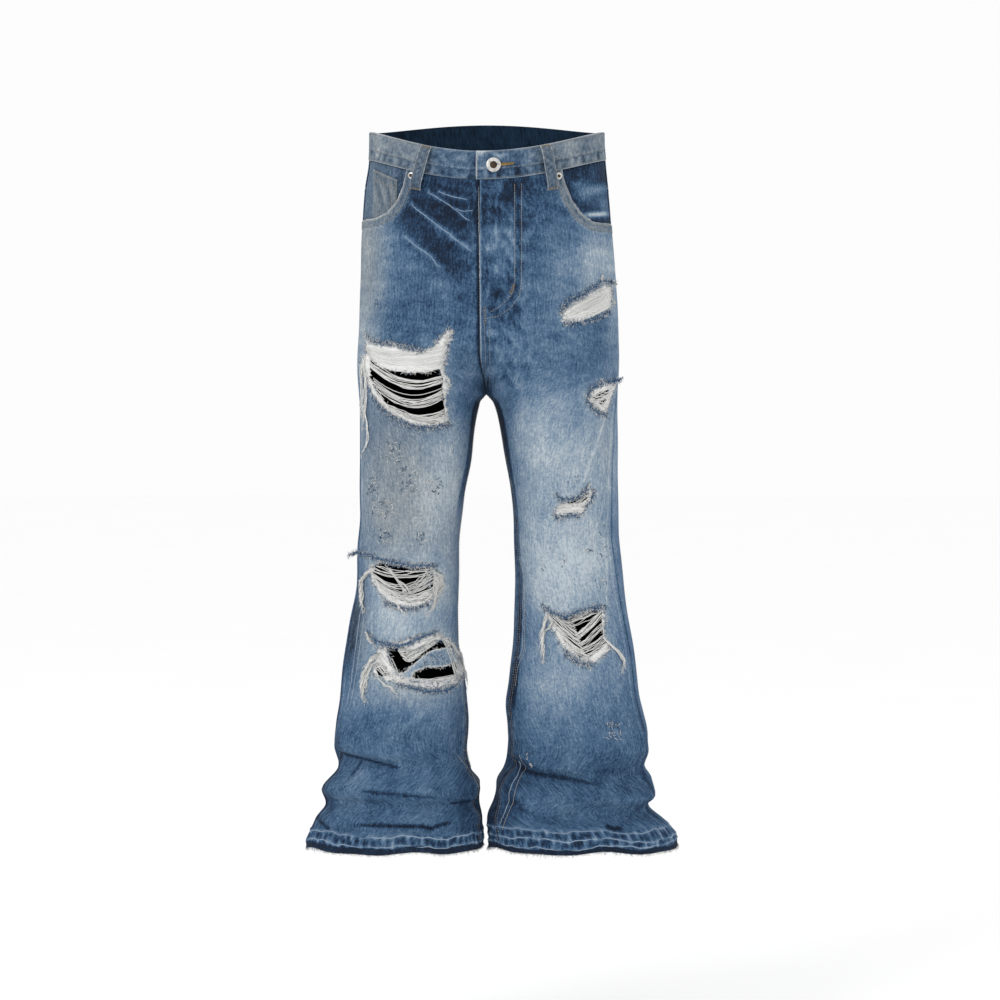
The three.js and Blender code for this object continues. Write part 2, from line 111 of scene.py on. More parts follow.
class Side(Enum):
    """The two legs, named for the wearer."""

    RIGHT = "right"
    LEFT = "left"


class Face(Enum):
    """Which way a panel faces."""

    FRONT = "front"
    BACK = "back"


class Curve:
    """A smooth curve through (height, value) rows that never overshoots them."""

    def __init__(self, rows: Sequence[tuple[float, float]]) -> None:
        """Keep the rows from the bottom up and work out a slope at each.

        Args:
            rows: (height, value) pairs listed from the top down.
        """
        pairs = np.array(rows[::-1], float)
        self.z, self.v = pairs[:, 0], pairs[:, 1]
        steep = np.diff(self.v) / np.diff(self.z)
        product = steep[:-1] * steep[1:]
        total = steep[:-1] + steep[1:]
        safe = np.where(total == 0, 1, total)
        inner = np.where(product <= 0, 0, 2 * product / safe)
        self.slope = np.concatenate([steep[:1], inner, steep[-1:]])

    def __call__(self, z: Array | float) -> Array:
        """Return the value at each height."""
        h = np.clip(np.asarray(z, float), self.z[0], self.z[-1])
        i = np.clip(np.searchsorted(self.z, h) - 1, 0, len(self.z) - 2)
        span = self.z[i + 1] - self.z[i]
        t = (h - self.z[i]) / span
        a, b = self.v[i], self.v[i + 1]
        m0, m1 = self.slope[i] * span, self.slope[i + 1] * span
        return a + m0 * t + (3 * (b - a) - 2 * m0 - m1) * t**2 + (2 * (a - b) + m0 + m1) * t**3


def smooth(t: Array | float) -> Array:
    """Return a soft step from 0 at 0 to 1 at 1."""
    c = np.clip(t, 0.0, 1.0)
    return c * c * (3 - 2 * c)


def cloud(x: Array, z: Array, size: float) -> Array:
    """Return irregular soft blotches, from about -1 to 1, each about size across."""
    u = x / size + 0.5 * np.sin(z / size * 0.9 + 1.0)
    v = z / size + 0.5 * np.sin(x / size * 1.1 + 2.0)
    total = 0.0
    waves = ((0.3, 2.0, 0.4), (1.4, 2.7, 2.1), (2.3, 1.7, 4.0), (0.9, 4.1, 1.2), (2.8, 5.2, 5.1))
    for turn, pitch, phase in waves:
        total = total + np.sin((u * math.cos(turn) + v * math.sin(turn)) * pitch + phase)
    return total / 2.6


def bump(distance: Array, half: float) -> Array:
    """Return a bell of this half width."""
    return np.exp(-((distance / half) ** 2))


def mix(a: Array | float, b: Array | float, t: Array | float) -> Array:
    """Return the value between a and b."""
    return a + (b - a) * t


def unit(directions: Array) -> Array:
    """Return the directions scaled to length one."""
    return directions / np.maximum(np.linalg.norm(directions, axis=-1, keepdims=True), TINY)


def beside(values: Array, line: Points | Array, reach: float, axis: int = 1) -> Array:
    """Return which values are within reach of a line's own x (axis 0) or height (axis 1)."""
    own = [corner[axis] for corner in line]
    return (values > min(own) - reach) & (values < max(own) + reach)


class Plane:
    """Distances on a flat drawing of (x, height)."""

    @staticmethod
    def nearest(
        x: Array, z: Array, line: Points, closed: bool = False
    ) -> tuple[Array, Array, Array, Array]:
        """Find the nearest place of a line.

        Args:
            x: across, for each point.
            z: height, for each point.
            line: the corners of the line.
            closed: whether the last corner joins the first.

        Returns:
            The distance, the nearest x and z, and how far along the line it is, from 0 to 1.
        """
        corners = np.array(line, float)
        if closed:
            corners = np.vstack([corners, corners[:1]])
        best = np.full(x.shape, 1e9)
        near_x, near_z, where = x.copy(), z.copy(), np.zeros(x.shape)
        count = len(corners) - 1
        for k in range(count):
            a, b = corners[k], corners[k + 1]
            d = b - a
            t = np.clip(((x - a[0]) * d[0] + (z - a[1]) * d[1]) / max(d @ d, TINY), 0, 1)
            px, pz = a[0] + t * d[0], a[1] + t * d[1]
            gap = np.hypot(x - px, z - pz)
            closer = gap < best
            best = np.where(closer, gap, best)
            near_x = np.where(closer, px, near_x)
            near_z = np.where(closer, pz, near_z)
            where = np.where(closer, (k + t) / count, where)
        return best, near_x, near_z, where

    @staticmethod
    def inside(x: Array, z: Array, outline: Points) -> Array:
        """Return which points are inside a closed outline."""
        corners = np.array(outline, float)
        hit = np.zeros(x.shape, bool)
        for (ax, az), (bx, bz) in zip(corners, np.roll(corners, -1, axis=0)):
            if az == bz:
                continue
            cross = (az > z) != (bz > z)
            hit ^= cross & (x < (bx - ax) * (z - az) / (bz - az) + ax)
        return hit

    @staticmethod
    def signed(x: Array, z: Array, outline: Points) -> Array:
        """Return the distance to a closed outline, negative inside it."""
        gap = Plane.nearest(x, z, outline, True)[0]
        return np.where(Plane.inside(x, z, outline), -gap, gap)

    @staticmethod
    def walk(line: Points, step: float, closed: bool = False) -> Array:
        """Return points at an even step along a line."""
        corners = np.array(line, float)
        if closed:
            corners = np.vstack([corners, corners[:1]])
        run = np.concatenate([[0], np.cumsum(np.hypot(*np.diff(corners, axis=0).T))])
        count = max(2, int(run[-1] / step) + 1)
        at = np.linspace(0, run[-1], count, endpoint=not closed)
        return np.stack([np.interp(at, run, corners[:, 0]), np.interp(at, run, corners[:, 1])], 1)


@dataclass(frozen=True)
class Fold:
    """A stacked fold that runs round the front or the back of a lower leg."""

    face: Face
    out: float
    into: float
    half: float
    depth: float
    start: float
    stop: float

    def lift(self, z: Array, way: Array) -> Array:
        """Return how far the cloth moves out, in millimetres."""
        middle = mix(self.out, self.into, way)
        ease = 0.12
        ends = smooth((way - self.start) / ease + 0.5) * smooth((self.stop - way) / ease + 0.5)
        return self.depth * bump(z - middle, self.half) * ends


@dataclass(frozen=True)
class Crease:
    """A crease drawn on the front: a soft ridge or trough along a line, paler with wear on ridges and with
    painted shade in troughs.
    """

    line: Points
    half: float
    depth: float
    wear_and_shade: float = 0.0
    wear_and_shade_half: float = 2.2

    def weigh(self, x: Array, z: Array, half: float) -> Array:
        """Return how strong the crease is at each point, fading at its ends."""
        gap, _, _, where = Plane.nearest(x, z, self.line)
        ends = smooth(where / 0.15 + 0.25) * smooth((1 - where) / 0.2 + 0.1)
        return bump(gap, half) * ends


F, B = Face.FRONT, Face.BACK
RIGHT_FOLDS = [
    Fold(F, -822, -842, 9, -9, 0.0, 0.62), Fold(F, -800, -775, 16, 5, 0.1, 0.8),
    Fold(F, -860, -868, 14, 6, 0.1, 0.95), Fold(F, -884, -892, 8, -6, 0.05, 0.95),
    Fold(F, -908, -912, 11, 4, 0.1, 0.9), Fold(F, -926, -918, 6, -4, 0.2, 0.9),
    Fold(B, -826, -836, 11, -9, 0.1, 0.9), Fold(B, -858, -866, 14, 6, 0.1, 0.95),
    Fold(B, -886, -894, 9, -6, 0.05, 0.95),
]
LEFT_FOLDS = [
    Fold(F, -858, -834, 9, -9, 0.1, 1.0), Fold(F, -806, -800, 18, 5, 0.1, 0.8),
    Fold(F, -884, -868, 15, 6, 0.1, 0.9), Fold(F, -902, -906, 9, -4, 0.1, 0.6),
    Fold(B, -838, -830, 11, -9, 0.1, 0.9), Fold(B, -866, -862, 14, 6, 0.1, 0.95),
    Fold(B, -892, -888, 9, -6, 0.05, 0.95),
]


@dataclass
class Leg:
    """One leg's outline, seams and folds."""

    side: Side
    sign: float
    outseam: Curve
    inseam: Curve
    outseam_turn: Curve
    inseam_turn: Curve
    folds: list[Fold]


LEGS = {
    Side.RIGHT: Leg(
        Side.RIGHT, -1.0, Curve(RIGHT_OUTSEAM), Curve(RIGHT_INSEAM),
        Curve([(-19, 0), (-300, 0), (-420, 14), (-620, 16), (-780, 12), (-952, 8)]),
        Curve([(-334, 0), (-420, 0), (-620, 0), (-760, 14), (-952, 16)]), RIGHT_FOLDS,
    ),
    Side.LEFT: Leg(
        Side.LEFT, 1.0, Curve(LEFT_OUTSEAM), Curve(LEFT_INSEAM),
        Curve([(-19, 0), (-280, 4), (-380, 24), (-520, 34), (-640, 26), (-800, 20), (-952, 12)]),
        Curve([(-334, 0), (-420, 8), (-620, 22), (-760, 18), (-952, 26)]), LEFT_FOLDS,
    ),
}


class Form:
    """The form of the cloth round a general figure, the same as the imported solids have."""

    front_depth = Curve(FRONT_DEPTH)
    back_depth = Curve(BACK_DEPTH)

    @staticmethod
    def reach(z: Array) -> Array:
        """Return how far each panel goes round, a quarter turn above and a half turn in the leg."""
        k = np.clip((RISE_TURN_Z - np.asarray(z, float)) / (RISE_TURN_Z - CROTCH_Z), 0, 1)
        return np.pi / 2 * (1 + k**RISE_SWEEP)

    @classmethod
    def section(cls, leg: Leg, z: Array, angle: Array) -> tuple[Array, Array]:
        """Return x and y of the bare section, where a positive angle is on the front."""
        front = np.sin(angle) >= 0
        outer = leg.outseam(z)
        seam = np.where(front, CENTRE_X, 0.0)
        rise = mix(-1.0, seam, smooth((z - CROTCH_Z) / 60))
        inner = np.where(z <= CROTCH_Z, leg.inseam(z), rise) + leg.sign * 0.1
        x = outer + (inner - outer) * (1 - np.cos(angle)) / (1 - np.cos(cls.reach(z)))
        depth = np.where(front, cls.front_depth(z), cls.back_depth(z))
        s = np.abs(np.sin(angle)) ** ROUNDNESS
        return x, np.where(front, -depth * s, depth * s)

    @classmethod
    def normal(cls, leg: Leg, z: Array, angle: Array) -> tuple[Array, Array]:
        """Return the outward direction of the section."""
        step = 0.004
        ax, ay = cls.section(leg, z, angle - step)
        bx, by = cls.section(leg, z, angle + step)
        length = np.hypot(bx - ax, by - ay)
        return -leg.sign * (by - ay) / length, leg.sign * (bx - ax) / length

    @classmethod
    def dip(cls, z: Array, angle: Array) -> Array:
        """Return how far the waist's dip moves a point down or up."""
        around = np.cos(np.pi / 2 * np.abs(np.cos(angle)))
        lift = np.where(np.sin(angle) >= 0, -FRONT_DIP, BACK_RISE) * around
        return lift * smooth((z - DIP_FADE_Z) / (-BAND_HALF - DIP_FADE_Z))

    @classmethod
    def place(cls, leg: Leg, z: Array, angle: Array, out: Array | float = 0.0) -> Array:
        """Return points of the cloth, moved out from it.

        Args:
            leg: the leg that the points belong to.
            z: height in the cut, before the waist's dip.
            angle: way round the section.
            out: distance out from the cloth.

        Returns:
            An array of points with x, y and z last.
        """
        z, angle = np.broadcast_arrays(np.asarray(z, float), np.asarray(angle, float))
        x, y = cls.section(leg, z, angle)
        nx, ny = cls.normal(leg, z, angle)
        front = np.sin(angle) >= 0
        way = np.minimum(np.abs(angle), 2 * np.pi - np.abs(angle)) / cls.reach(z)
        height = z + cls.dip(z, angle)
        move = np.zeros(z.shape) + out
        for fold in leg.folds:
            on_face = front if fold.face is Face.FRONT else ~front
            move = move + np.where(on_face, fold.lift(z, way), 0)
        move = move + Relief.lift(leg, x, height, front)
        return np.stack([x + nx * move, y + ny * move, height], -1)

    @classmethod
    def pair(cls, leg: Leg, z: Array, angle: Array, out: Array | float) -> tuple[Array, Array]:
        """Return points of the cloth and the same points one millimetre further out."""
        return cls.place(leg, z, angle, out), cls.place(leg, z, angle, out + 1)

    @classmethod
    def angle_at(cls, leg: Leg, z: Array, x: Array) -> Array:
        """Return the angle at which the front has this x."""
        outer = leg.outseam(z)
        rise = mix(-1.0, CENTRE_X, smooth((z - CROTCH_Z) / 60))
        inner = np.where(z <= CROTCH_Z, leg.inseam(z), rise) + leg.sign * 0.1
        c = 1 - (x - outer) * (1 - np.cos(cls.reach(z))) / (inner - outer)
        return np.arccos(np.clip(c, -1, 1))

    @classmethod
    def on_front(cls, x: Array, height: Array, out: Array | float = 0.0, leave: float | None = None) -> Array:
        """Return points on the front that have this x and this real height.

        Args:
            x: across.
            height: real height.
            out: distance out from the cloth.
            leave: how far short of the outseam a line leaves the cloth and goes straight
                on, or None where it stays on the cloth.

        Returns:
            An array of points with x, y and z last.
        """
        x, height = np.broadcast_arrays(np.asarray(x, float), np.asarray(height, float))
        points = np.zeros(x.shape + (3,))
        middle = np.where(height < CROTCH_Z, 0.0, CENTRE_X)
        for leg in LEGS.values():
            mine = (x < middle) if leg.side is Side.RIGHT else (x >= middle)
            z = height.copy()
            beyond = 0.0
            if leave is not None:
                beyond = leg.sign * np.maximum(leg.sign * (x - leg.outseam(z)) + leave, 0)
            for _ in range(FIT_ROUNDS):
                z = height - cls.dip(z, cls.angle_at(leg, z, x - beyond))
            found = cls.place(leg, z, cls.angle_at(leg, z, x - beyond), out)
            found[..., 0] += beyond
            points[mine] = found[mine]
        return points


class Relief:
    """Creases and drape that lie over the plain form."""

    creases: list[Crease] = []
    back_creases: list[Crease] = []

    @classmethod
    def lift(cls, leg: Leg, x: Array, height: Array, front: Array) -> Array:
        """Return how far the creases and the soft drape move the cloth out."""
        calm = smooth((-60 - height) / 120)
        wave = np.sin(height * 0.021 + x * 0.034 * leg.sign + leg.sign) * np.sin(height * 0.013 + 1.7)
        small = np.sin(height * 0.062 + x * 0.018 + 2.2 * leg.sign) * np.sin(x * 0.045 + height * 0.011)
        move = calm * (1.1 * wave + 0.55 * small)
        lower = smooth((-700 - height) / 120)
        gather = np.sin(height * 0.11 + 1.5 * np.sin(x * 0.03 + leg.sign)) * np.sin(x * 0.021 + 0.8)
        move = move + lower * 1.9 * gather
        for group, where in ((cls.creases, front), (cls.back_creases, ~front)):
            for crease in group:
                near = where & beside(height, crease.line, 30)
                if near.any():
                    part = np.zeros(x.shape)
                    part[near] = crease.depth * crease.weigh(x[near], height[near], crease.half)
                    move = move + part
        return move


# ------------------------------------------------------------------ meshes
class Maker:
    """Turns arrays of points and faces into Blender objects."""

    @staticmethod
    def build(
        name: str,
        points: Array,
        faces: list[Array],
        paint: dict[str, Array],
        weave: Array | None,
        finishes: list[bpy.types.Material],
        slots: list[int],
    ) -> bpy.types.Object:
        """Make one object.

        Args:
            name: the object's name.
            points: millimetre points, one row each.
            faces: arrays of corner numbers, one array for each count of corners.
            paint: a value at each point, for each attribute.
            weave: the cloth's own two directions at each point, in metres.
            finishes: the materials.
            slots: the material number of each array of faces.

        Returns:
            The object, in metres, linked to the scene.
        """
        mesh = bpy.data.meshes.new(name)
        mesh.vertices.add(len(points))
        mesh.vertices.foreach_set("co", (points * MM).astype(np.float32).ravel())
        corners = np.concatenate([f.ravel() for f in faces]).astype(np.int32)
        totals = np.concatenate([np.full(len(f), f.shape[1]) for f in faces])
        starts = np.concatenate([[0], np.cumsum(totals)[:-1]]).astype(np.int32)
        mesh.loops.add(len(corners))
        mesh.loops.foreach_set("vertex_index", corners)
        mesh.polygons.add(len(totals))
        mesh.polygons.foreach_set("loop_start", starts)
        numbers = np.concatenate([np.full(len(f), s) for f, s in zip(faces, slots)])
        mesh.polygons.foreach_set("material_index", numbers.astype(np.int32))
        mesh.polygons.foreach_set("use_smooth", np.ones(len(totals), bool))
        mesh.update(calc_edges=True)
        for key, values in paint.items():
            layer = mesh.attributes.new(key, "FLOAT", "POINT")
            layer.data.foreach_set("value", values.astype(np.float32).ravel())
        if weave is not None:
            layer = mesh.uv_layers.new(name="weave")
            layer.data.foreach_set("uv", weave[corners].astype(np.float32).ravel())
        for finish in finishes:
            mesh.materials.append(finish)
        mesh.validate()
        piece = bpy.data.objects.new(name, mesh)
        bpy.context.scene.collection.objects.link(piece)
        return piece


@dataclass
class Shell:
    """A thin wall of cloth grown from a grid of points."""

    name: str
    points: Array
    outward: Array
    paint: dict[str, Array]
    weave: Array
    keep: Array | None = None
    thickness: float = CLOTH

    def build(self, outer: bpy.types.Material, inner: bpy.types.Material) -> bpy.types.Object:
        """Make the wall.

        Args:
            outer: the finish of the face side and the edges.
            inner: the finish of the inside.

        Returns:
            The object.
        """
        rows, columns = self.points.shape[:2]
        number = np.arange(rows * columns).reshape(rows, columns)
        keep = np.ones((rows - 1, columns - 1), bool) if self.keep is None else self.keep
        n = self.outward
        quads = np.stack(
            [number[:-1, :-1], number[1:, :-1], number[1:, 1:], number[:-1, 1:]], -1
        )[keep]
        flat = self.points.reshape(-1, 3)
        a, b, c = (flat[quads[:, k]] for k in range(3))
        turned = np.sum(np.cross(b - a, c - b) * n.reshape(-1, 3)[quads[:, 0]]) < 0
        if turned:
            quads = quads[:, ::-1]
        edges = np.concatenate([quads[:, [k, (k + 1) % 4]] for k in range(4)])
        total = rows * columns
        forward = edges[:, 0].astype(np.int64) * total + edges[:, 1]
        back = edges[:, 1].astype(np.int64) * total + edges[:, 0]
        rim = edges[~np.isin(forward, back)]
        inside = flat - n.reshape(-1, 3) * self.thickness
        every = np.vstack([flat, inside])
        rim_faces = np.stack([rim[:, 1], rim[:, 0], rim[:, 0] + total, rim[:, 1] + total], -1)
        inner_faces = quads[:, ::-1] + total
        used, packed = np.unique(
            np.concatenate([quads.ravel(), inner_faces.ravel(), rim_faces.ravel()]), return_inverse=True
        )
        first, second = quads.size, quads.size + inner_faces.size
        faces = [
            packed[:first].reshape(-1, 4),
            packed[first:second].reshape(-1, 4),
            packed[second:].reshape(-1, 4),
        ]
        paint = {key: np.tile(v.ravel(), 2)[used] for key, v in self.paint.items()}
        weave = np.tile(self.weave.reshape(-1, 2), (2, 1))[used]
        finishes = [outer, inner]
        return Maker.build(self.name, every[used], faces, paint, weave, finishes, [0, 1, 0])


@dataclass
class Strands:
    """Many thin threads that become one joined mesh."""

    GUIDE = (0.31, -0.83, 0.46)

    name: str
    sides: int = 3
    batches: list[tuple[Array, Array, Array, Array]] = field(default_factory=list)

    def add(
        self, paths: Array, radius: Array | float, tone: Array | float, blue: Array | float = 0.0
    ) -> None:
        """Add threads that have the same number of points each.

        Args:
            paths: (thread, point, 3) places in millimetres.
            radius: the radius of each point, or of all.
            tone: how bright each thread is, from 0 to 1.
            blue: how blue each thread is, from 0 to 1.
        """
        count, size = paths.shape[:2]
        thick = np.broadcast_to(np.asarray(radius, float), (count, size))
        self.batches.append(
            (paths, thick, np.broadcast_to(tone, (count,)), np.broadcast_to(blue, (count,)))
        )

    def build(self, finish: bpy.types.Material) -> bpy.types.Object:
        """Make the joined mesh of closed tubes and return it."""
        points, walls, caps, tones, blues = [], [], [], [], []
        offset = 0
        for paths, thick, tone, blue in self.batches:
            count, size = paths.shape[:2]
            along_it = unit(np.gradient(paths, axis=1))
            side = unit(np.cross(along_it, self.GUIDE))
            up = np.cross(along_it, side)
            turns = np.arange(self.sides) * 2 * np.pi / self.sides
            ring = (
                paths[:, :, None]
                + thick[:, :, None, None]
                * (np.cos(turns)[:, None] * side[:, :, None] + np.sin(turns)[:, None] * up[:, :, None])
            )
            points.append(ring.reshape(-1, 3))
            at = offset + np.arange(count * size * self.sides).reshape(count, size, self.sides)
            following = np.roll(at, -1, axis=2)
            walls.append(
                np.stack([at[:, :-1], following[:, :-1], following[:, 1:], at[:, 1:]], -1).reshape(-1, 4)
            )
            caps.append(at[:, 0, ::-1])
            caps.append(at[:, -1])
            tones.append(np.repeat(tone, size * self.sides))
            blues.append(np.repeat(blue, size * self.sides))
            offset += ring.size // 3
        paint = {"tone": np.concatenate(tones), "blue": np.concatenate(blues)}
        faces = [np.concatenate(walls), np.concatenate(caps)]
        every = np.vstack(points)
        a, b, c, d = (every[faces[0][:, k]] for k in range(4))
        if np.sum(np.cross(a, b) * c) + np.sum(np.cross(a, c) * d) < 0:
            faces = [group[:, ::-1] for group in faces]
        return Maker.build(self.name, every, faces, paint, None, [finish], [0, 0])


class Needle:
    """Sews rows of stitches along lines on the cloth."""

    LENGTH = 2.7
    PITCH = 3.5
    RADIUS = 0.36

    def __init__(self, strands: Strands, seed: int) -> None:
        """Keep the thread that stitches are added to, and a seeded source of small changes."""
        self.strands = strands
        self.rng = np.random.default_rng(seed)

    def sew(self, base: Array, lifted: Array, tone: float, blue: float = 0.0, scale: float = 1.0) -> None:
        """Sew one row.

        Args:
            base: close points of the row on the cloth.
            lifted: the same points one millimetre out.
            tone: how bright the thread is.
            blue: how much of it the wash has turned blue.
            scale: size of the stitches.
        """
        run = np.concatenate([[0], np.cumsum(np.linalg.norm(np.diff(base, axis=0), axis=1))])
        pitch = self.PITCH * scale
        count = int(run[-1] / pitch)
        if count < 1:
            return
        middle = (np.arange(count) + 0.5) * pitch
        half = self.LENGTH * scale / 2
        at = np.stack([middle - half, middle, middle + half], 1)
        high = np.array([0.02, 0.42, 0.02])
        out = lifted - base
        path = np.stack([np.interp(at, run, base[:, k]) for k in range(3)], -1)
        rise = np.stack([np.interp(at, run, out[:, k]) for k in range(3)], -1)
        paths = path + rise * high[:, None]
        radius = self.RADIUS * scale * np.array([0.55, 1.0, 0.55])
        tones = np.clip(tone + self.rng.normal(0, 0.08, count), 0, 1)
        self.strands.add(paths, radius, tones, np.clip(blue + self.rng.normal(0, 0.1, count), 0, 1))

    def front(
        self, line: Points, tone: float, blue: float = 0.0, shift: float = 0.0, out: float = 0.0
    ) -> None:
        """Sew a row drawn on the front, moved sideways by shift and out by out."""
        walk = Plane.walk(line, 1.5)
        d = unit(np.gradient(walk, axis=0))
        x, z = walk[:, 0] - d[:, 1] * shift, walk[:, 1] + d[:, 0] * shift
        self.sew(Form.on_front(x, z, out), Form.on_front(x, z, out + 1), tone, blue)

    def round(
        self, leg: Leg, z: Array, angle: Array, tone: float, blue: float = 0.0, out: float = 0.0
    ) -> None:
        """Sew a row along given heights and angles of one leg."""
        self.sew(*Form.pair(leg, z, angle, out), tone, blue)


# ------------------------------------------------------------------ wash, wear and painted shade
@dataclass(frozen=True)
class Patch:
    """A soft-edged area that the wash left paler or darker."""

    x: float
    z: float
    wide: float
    high: float
    change: float
    turn: float = 0.0

    def weigh(self, x: Array, z: Array) -> Array:
        """Return how strong the patch is at each point."""
        c, s = math.cos(math.radians(self.turn)), math.sin(math.radians(self.turn))
        u = ((x - self.x) * c + (z - self.z) * s) / self.wide
        v = (-(x - self.x) * s + (z - self.z) * c) / self.high
        return self.change * np.exp(-(np.abs(u) ** 2.4 + np.abs(v) ** 2.4))


FRONT_FADE = Curve([
    (20, 0.28), (-60, 0.26), (-130, 0.32), (-200, 0.38), (-290, 0.40), (-345, 0.50), (-400, 0.60),
    (-470, 0.68), (-570, 0.70), (-650, 0.62), (-710, 0.55), (-760, 0.44), (-820, 0.36), (-952, 0.32),
])
BACK_FADE = Curve([
    (20, 0.30), (-60, 0.30), (-150, 0.46), (-230, 0.48), (-300, 0.36), (-400, 0.40), (-520, 0.44),
    (-600, 0.50), (-700, 0.46), (-800, 0.38), (-952, 0.32),
])
PATCHES = [
    # the hips, worn pale and a little grey at the sides
    Patch(-170, -140, 42, 92, 0.30), Patch(-150, -120, 30, 40, 0.08), Patch(-166, -250, 22, 60, 0.22),
    Patch(158, -150, 40, 52, 0.36), Patch(128, -150, 34, 34, 0.16), Patch(174, -230, 16, 60, 0.18),
    # the dark unworn block beside the fly
    Patch(-60, -82, 44, 26, -0.22), Patch(-36, -115, 30, 40, -0.14), Patch(-90, -104, 36, 20, -0.08, -35),
    Patch(30, -66, 24, 18, -0.08), Patch(70, -90, 34, 30, 0.02),
    # the fly
    Patch(14, -126, 24, 14, 0.12), Patch(20, -150, 10, 20, 0.06), Patch(20, -200, 22, 30, -0.14),
    Patch(4, -72, 8, 16, 0.04), Patch(12, -96, 26, 20, -0.20), Patch(-60, -150, 44, 20, -0.20, -35),
    Patch(-84, -226, 70, 60, -0.07), Patch(92, -246, 60, 46, 0.03), Patch(-52, -440, 26, 60, 0.22),
    Patch(-185, -672, 13, 62, -0.34), Patch(-185, -597, 8, 30, -0.2), Patch(-103, -642, 40, 24, -0.06),
    # thigh fronts and knees
    Patch(-96, -400, 60, 44, 0.02), Patch(-80, -500, 50, 90, 0.06), Patch(-128, -470, 34, 90, -0.04),
    Patch(96, -372, 62, 46, 0.16), Patch(104, -450, 58, 80, 0.16), Patch(96, -560, 52, 70, 0.14),
    Patch(-100, -618, 48, 40, 0.14), Patch(-96, -735, 50, 20, 0.10), Patch(100, -706, 50, 40, 0.12),
    Patch(84, -640, 60, 30, -0.10),
    # lower legs
    Patch(-150, -775, 40, 26, -0.04), Patch(80, -850, 40, 30, -0.10),
    Patch(-105, -715, 60, 40, 0.16), Patch(-100, -840, 60, 40, 0.05), Patch(96, -745, 50, 40, 0.06),
    Patch(150, -860, 40, 60, -0.06), Patch(100, -470, 40, 40, -0.11),
    Patch(-170, -600, 20, 70, -0.16),
    # smaller places
    Patch(84, -181, 30, 34, 0.10), Patch(167, -421, 16, 60, 0.05), Patch(118, -587, 40, 34, 0.07),
    Patch(-36, -407, 16, 50, 0.08), Patch(27, -380, 8, 60, -0.10), Patch(-174, -636, 10, 44, -0.10),
    Patch(-113, -640, 40, 24, 0.14), Patch(117, -573, 44, 38, 0.10), Patch(124, -330, 22, 16, 0.10),
    Patch(34, -351, 8, 60, -0.10), Patch(-29, -367, 12, 60, -0.10),
]
GRIME = [
    Patch(-166, -150, 30, 110, 0.8), Patch(-128, -430, 60, 110, 0.8), Patch(-150, -60, 40, 40, 0.5),
    Patch(-120, -520, 50, 40, 0.3), Patch(150, -60, 40, 30, 0.15), Patch(-150, 0, 60, 30, 0.45),
    Patch(-100, -735, 50, 20, 0.35), Patch(-174, -636, 14, 60, 0.7), Patch(167, -421, 16, 70, 0.2),
]


def in_leg(z: Array, half: float) -> Array:
    """Return 0 above the crotch and 1 below it, changing over this half height."""
    return smooth((CROTCH_Z + half - z) / (2 * half))


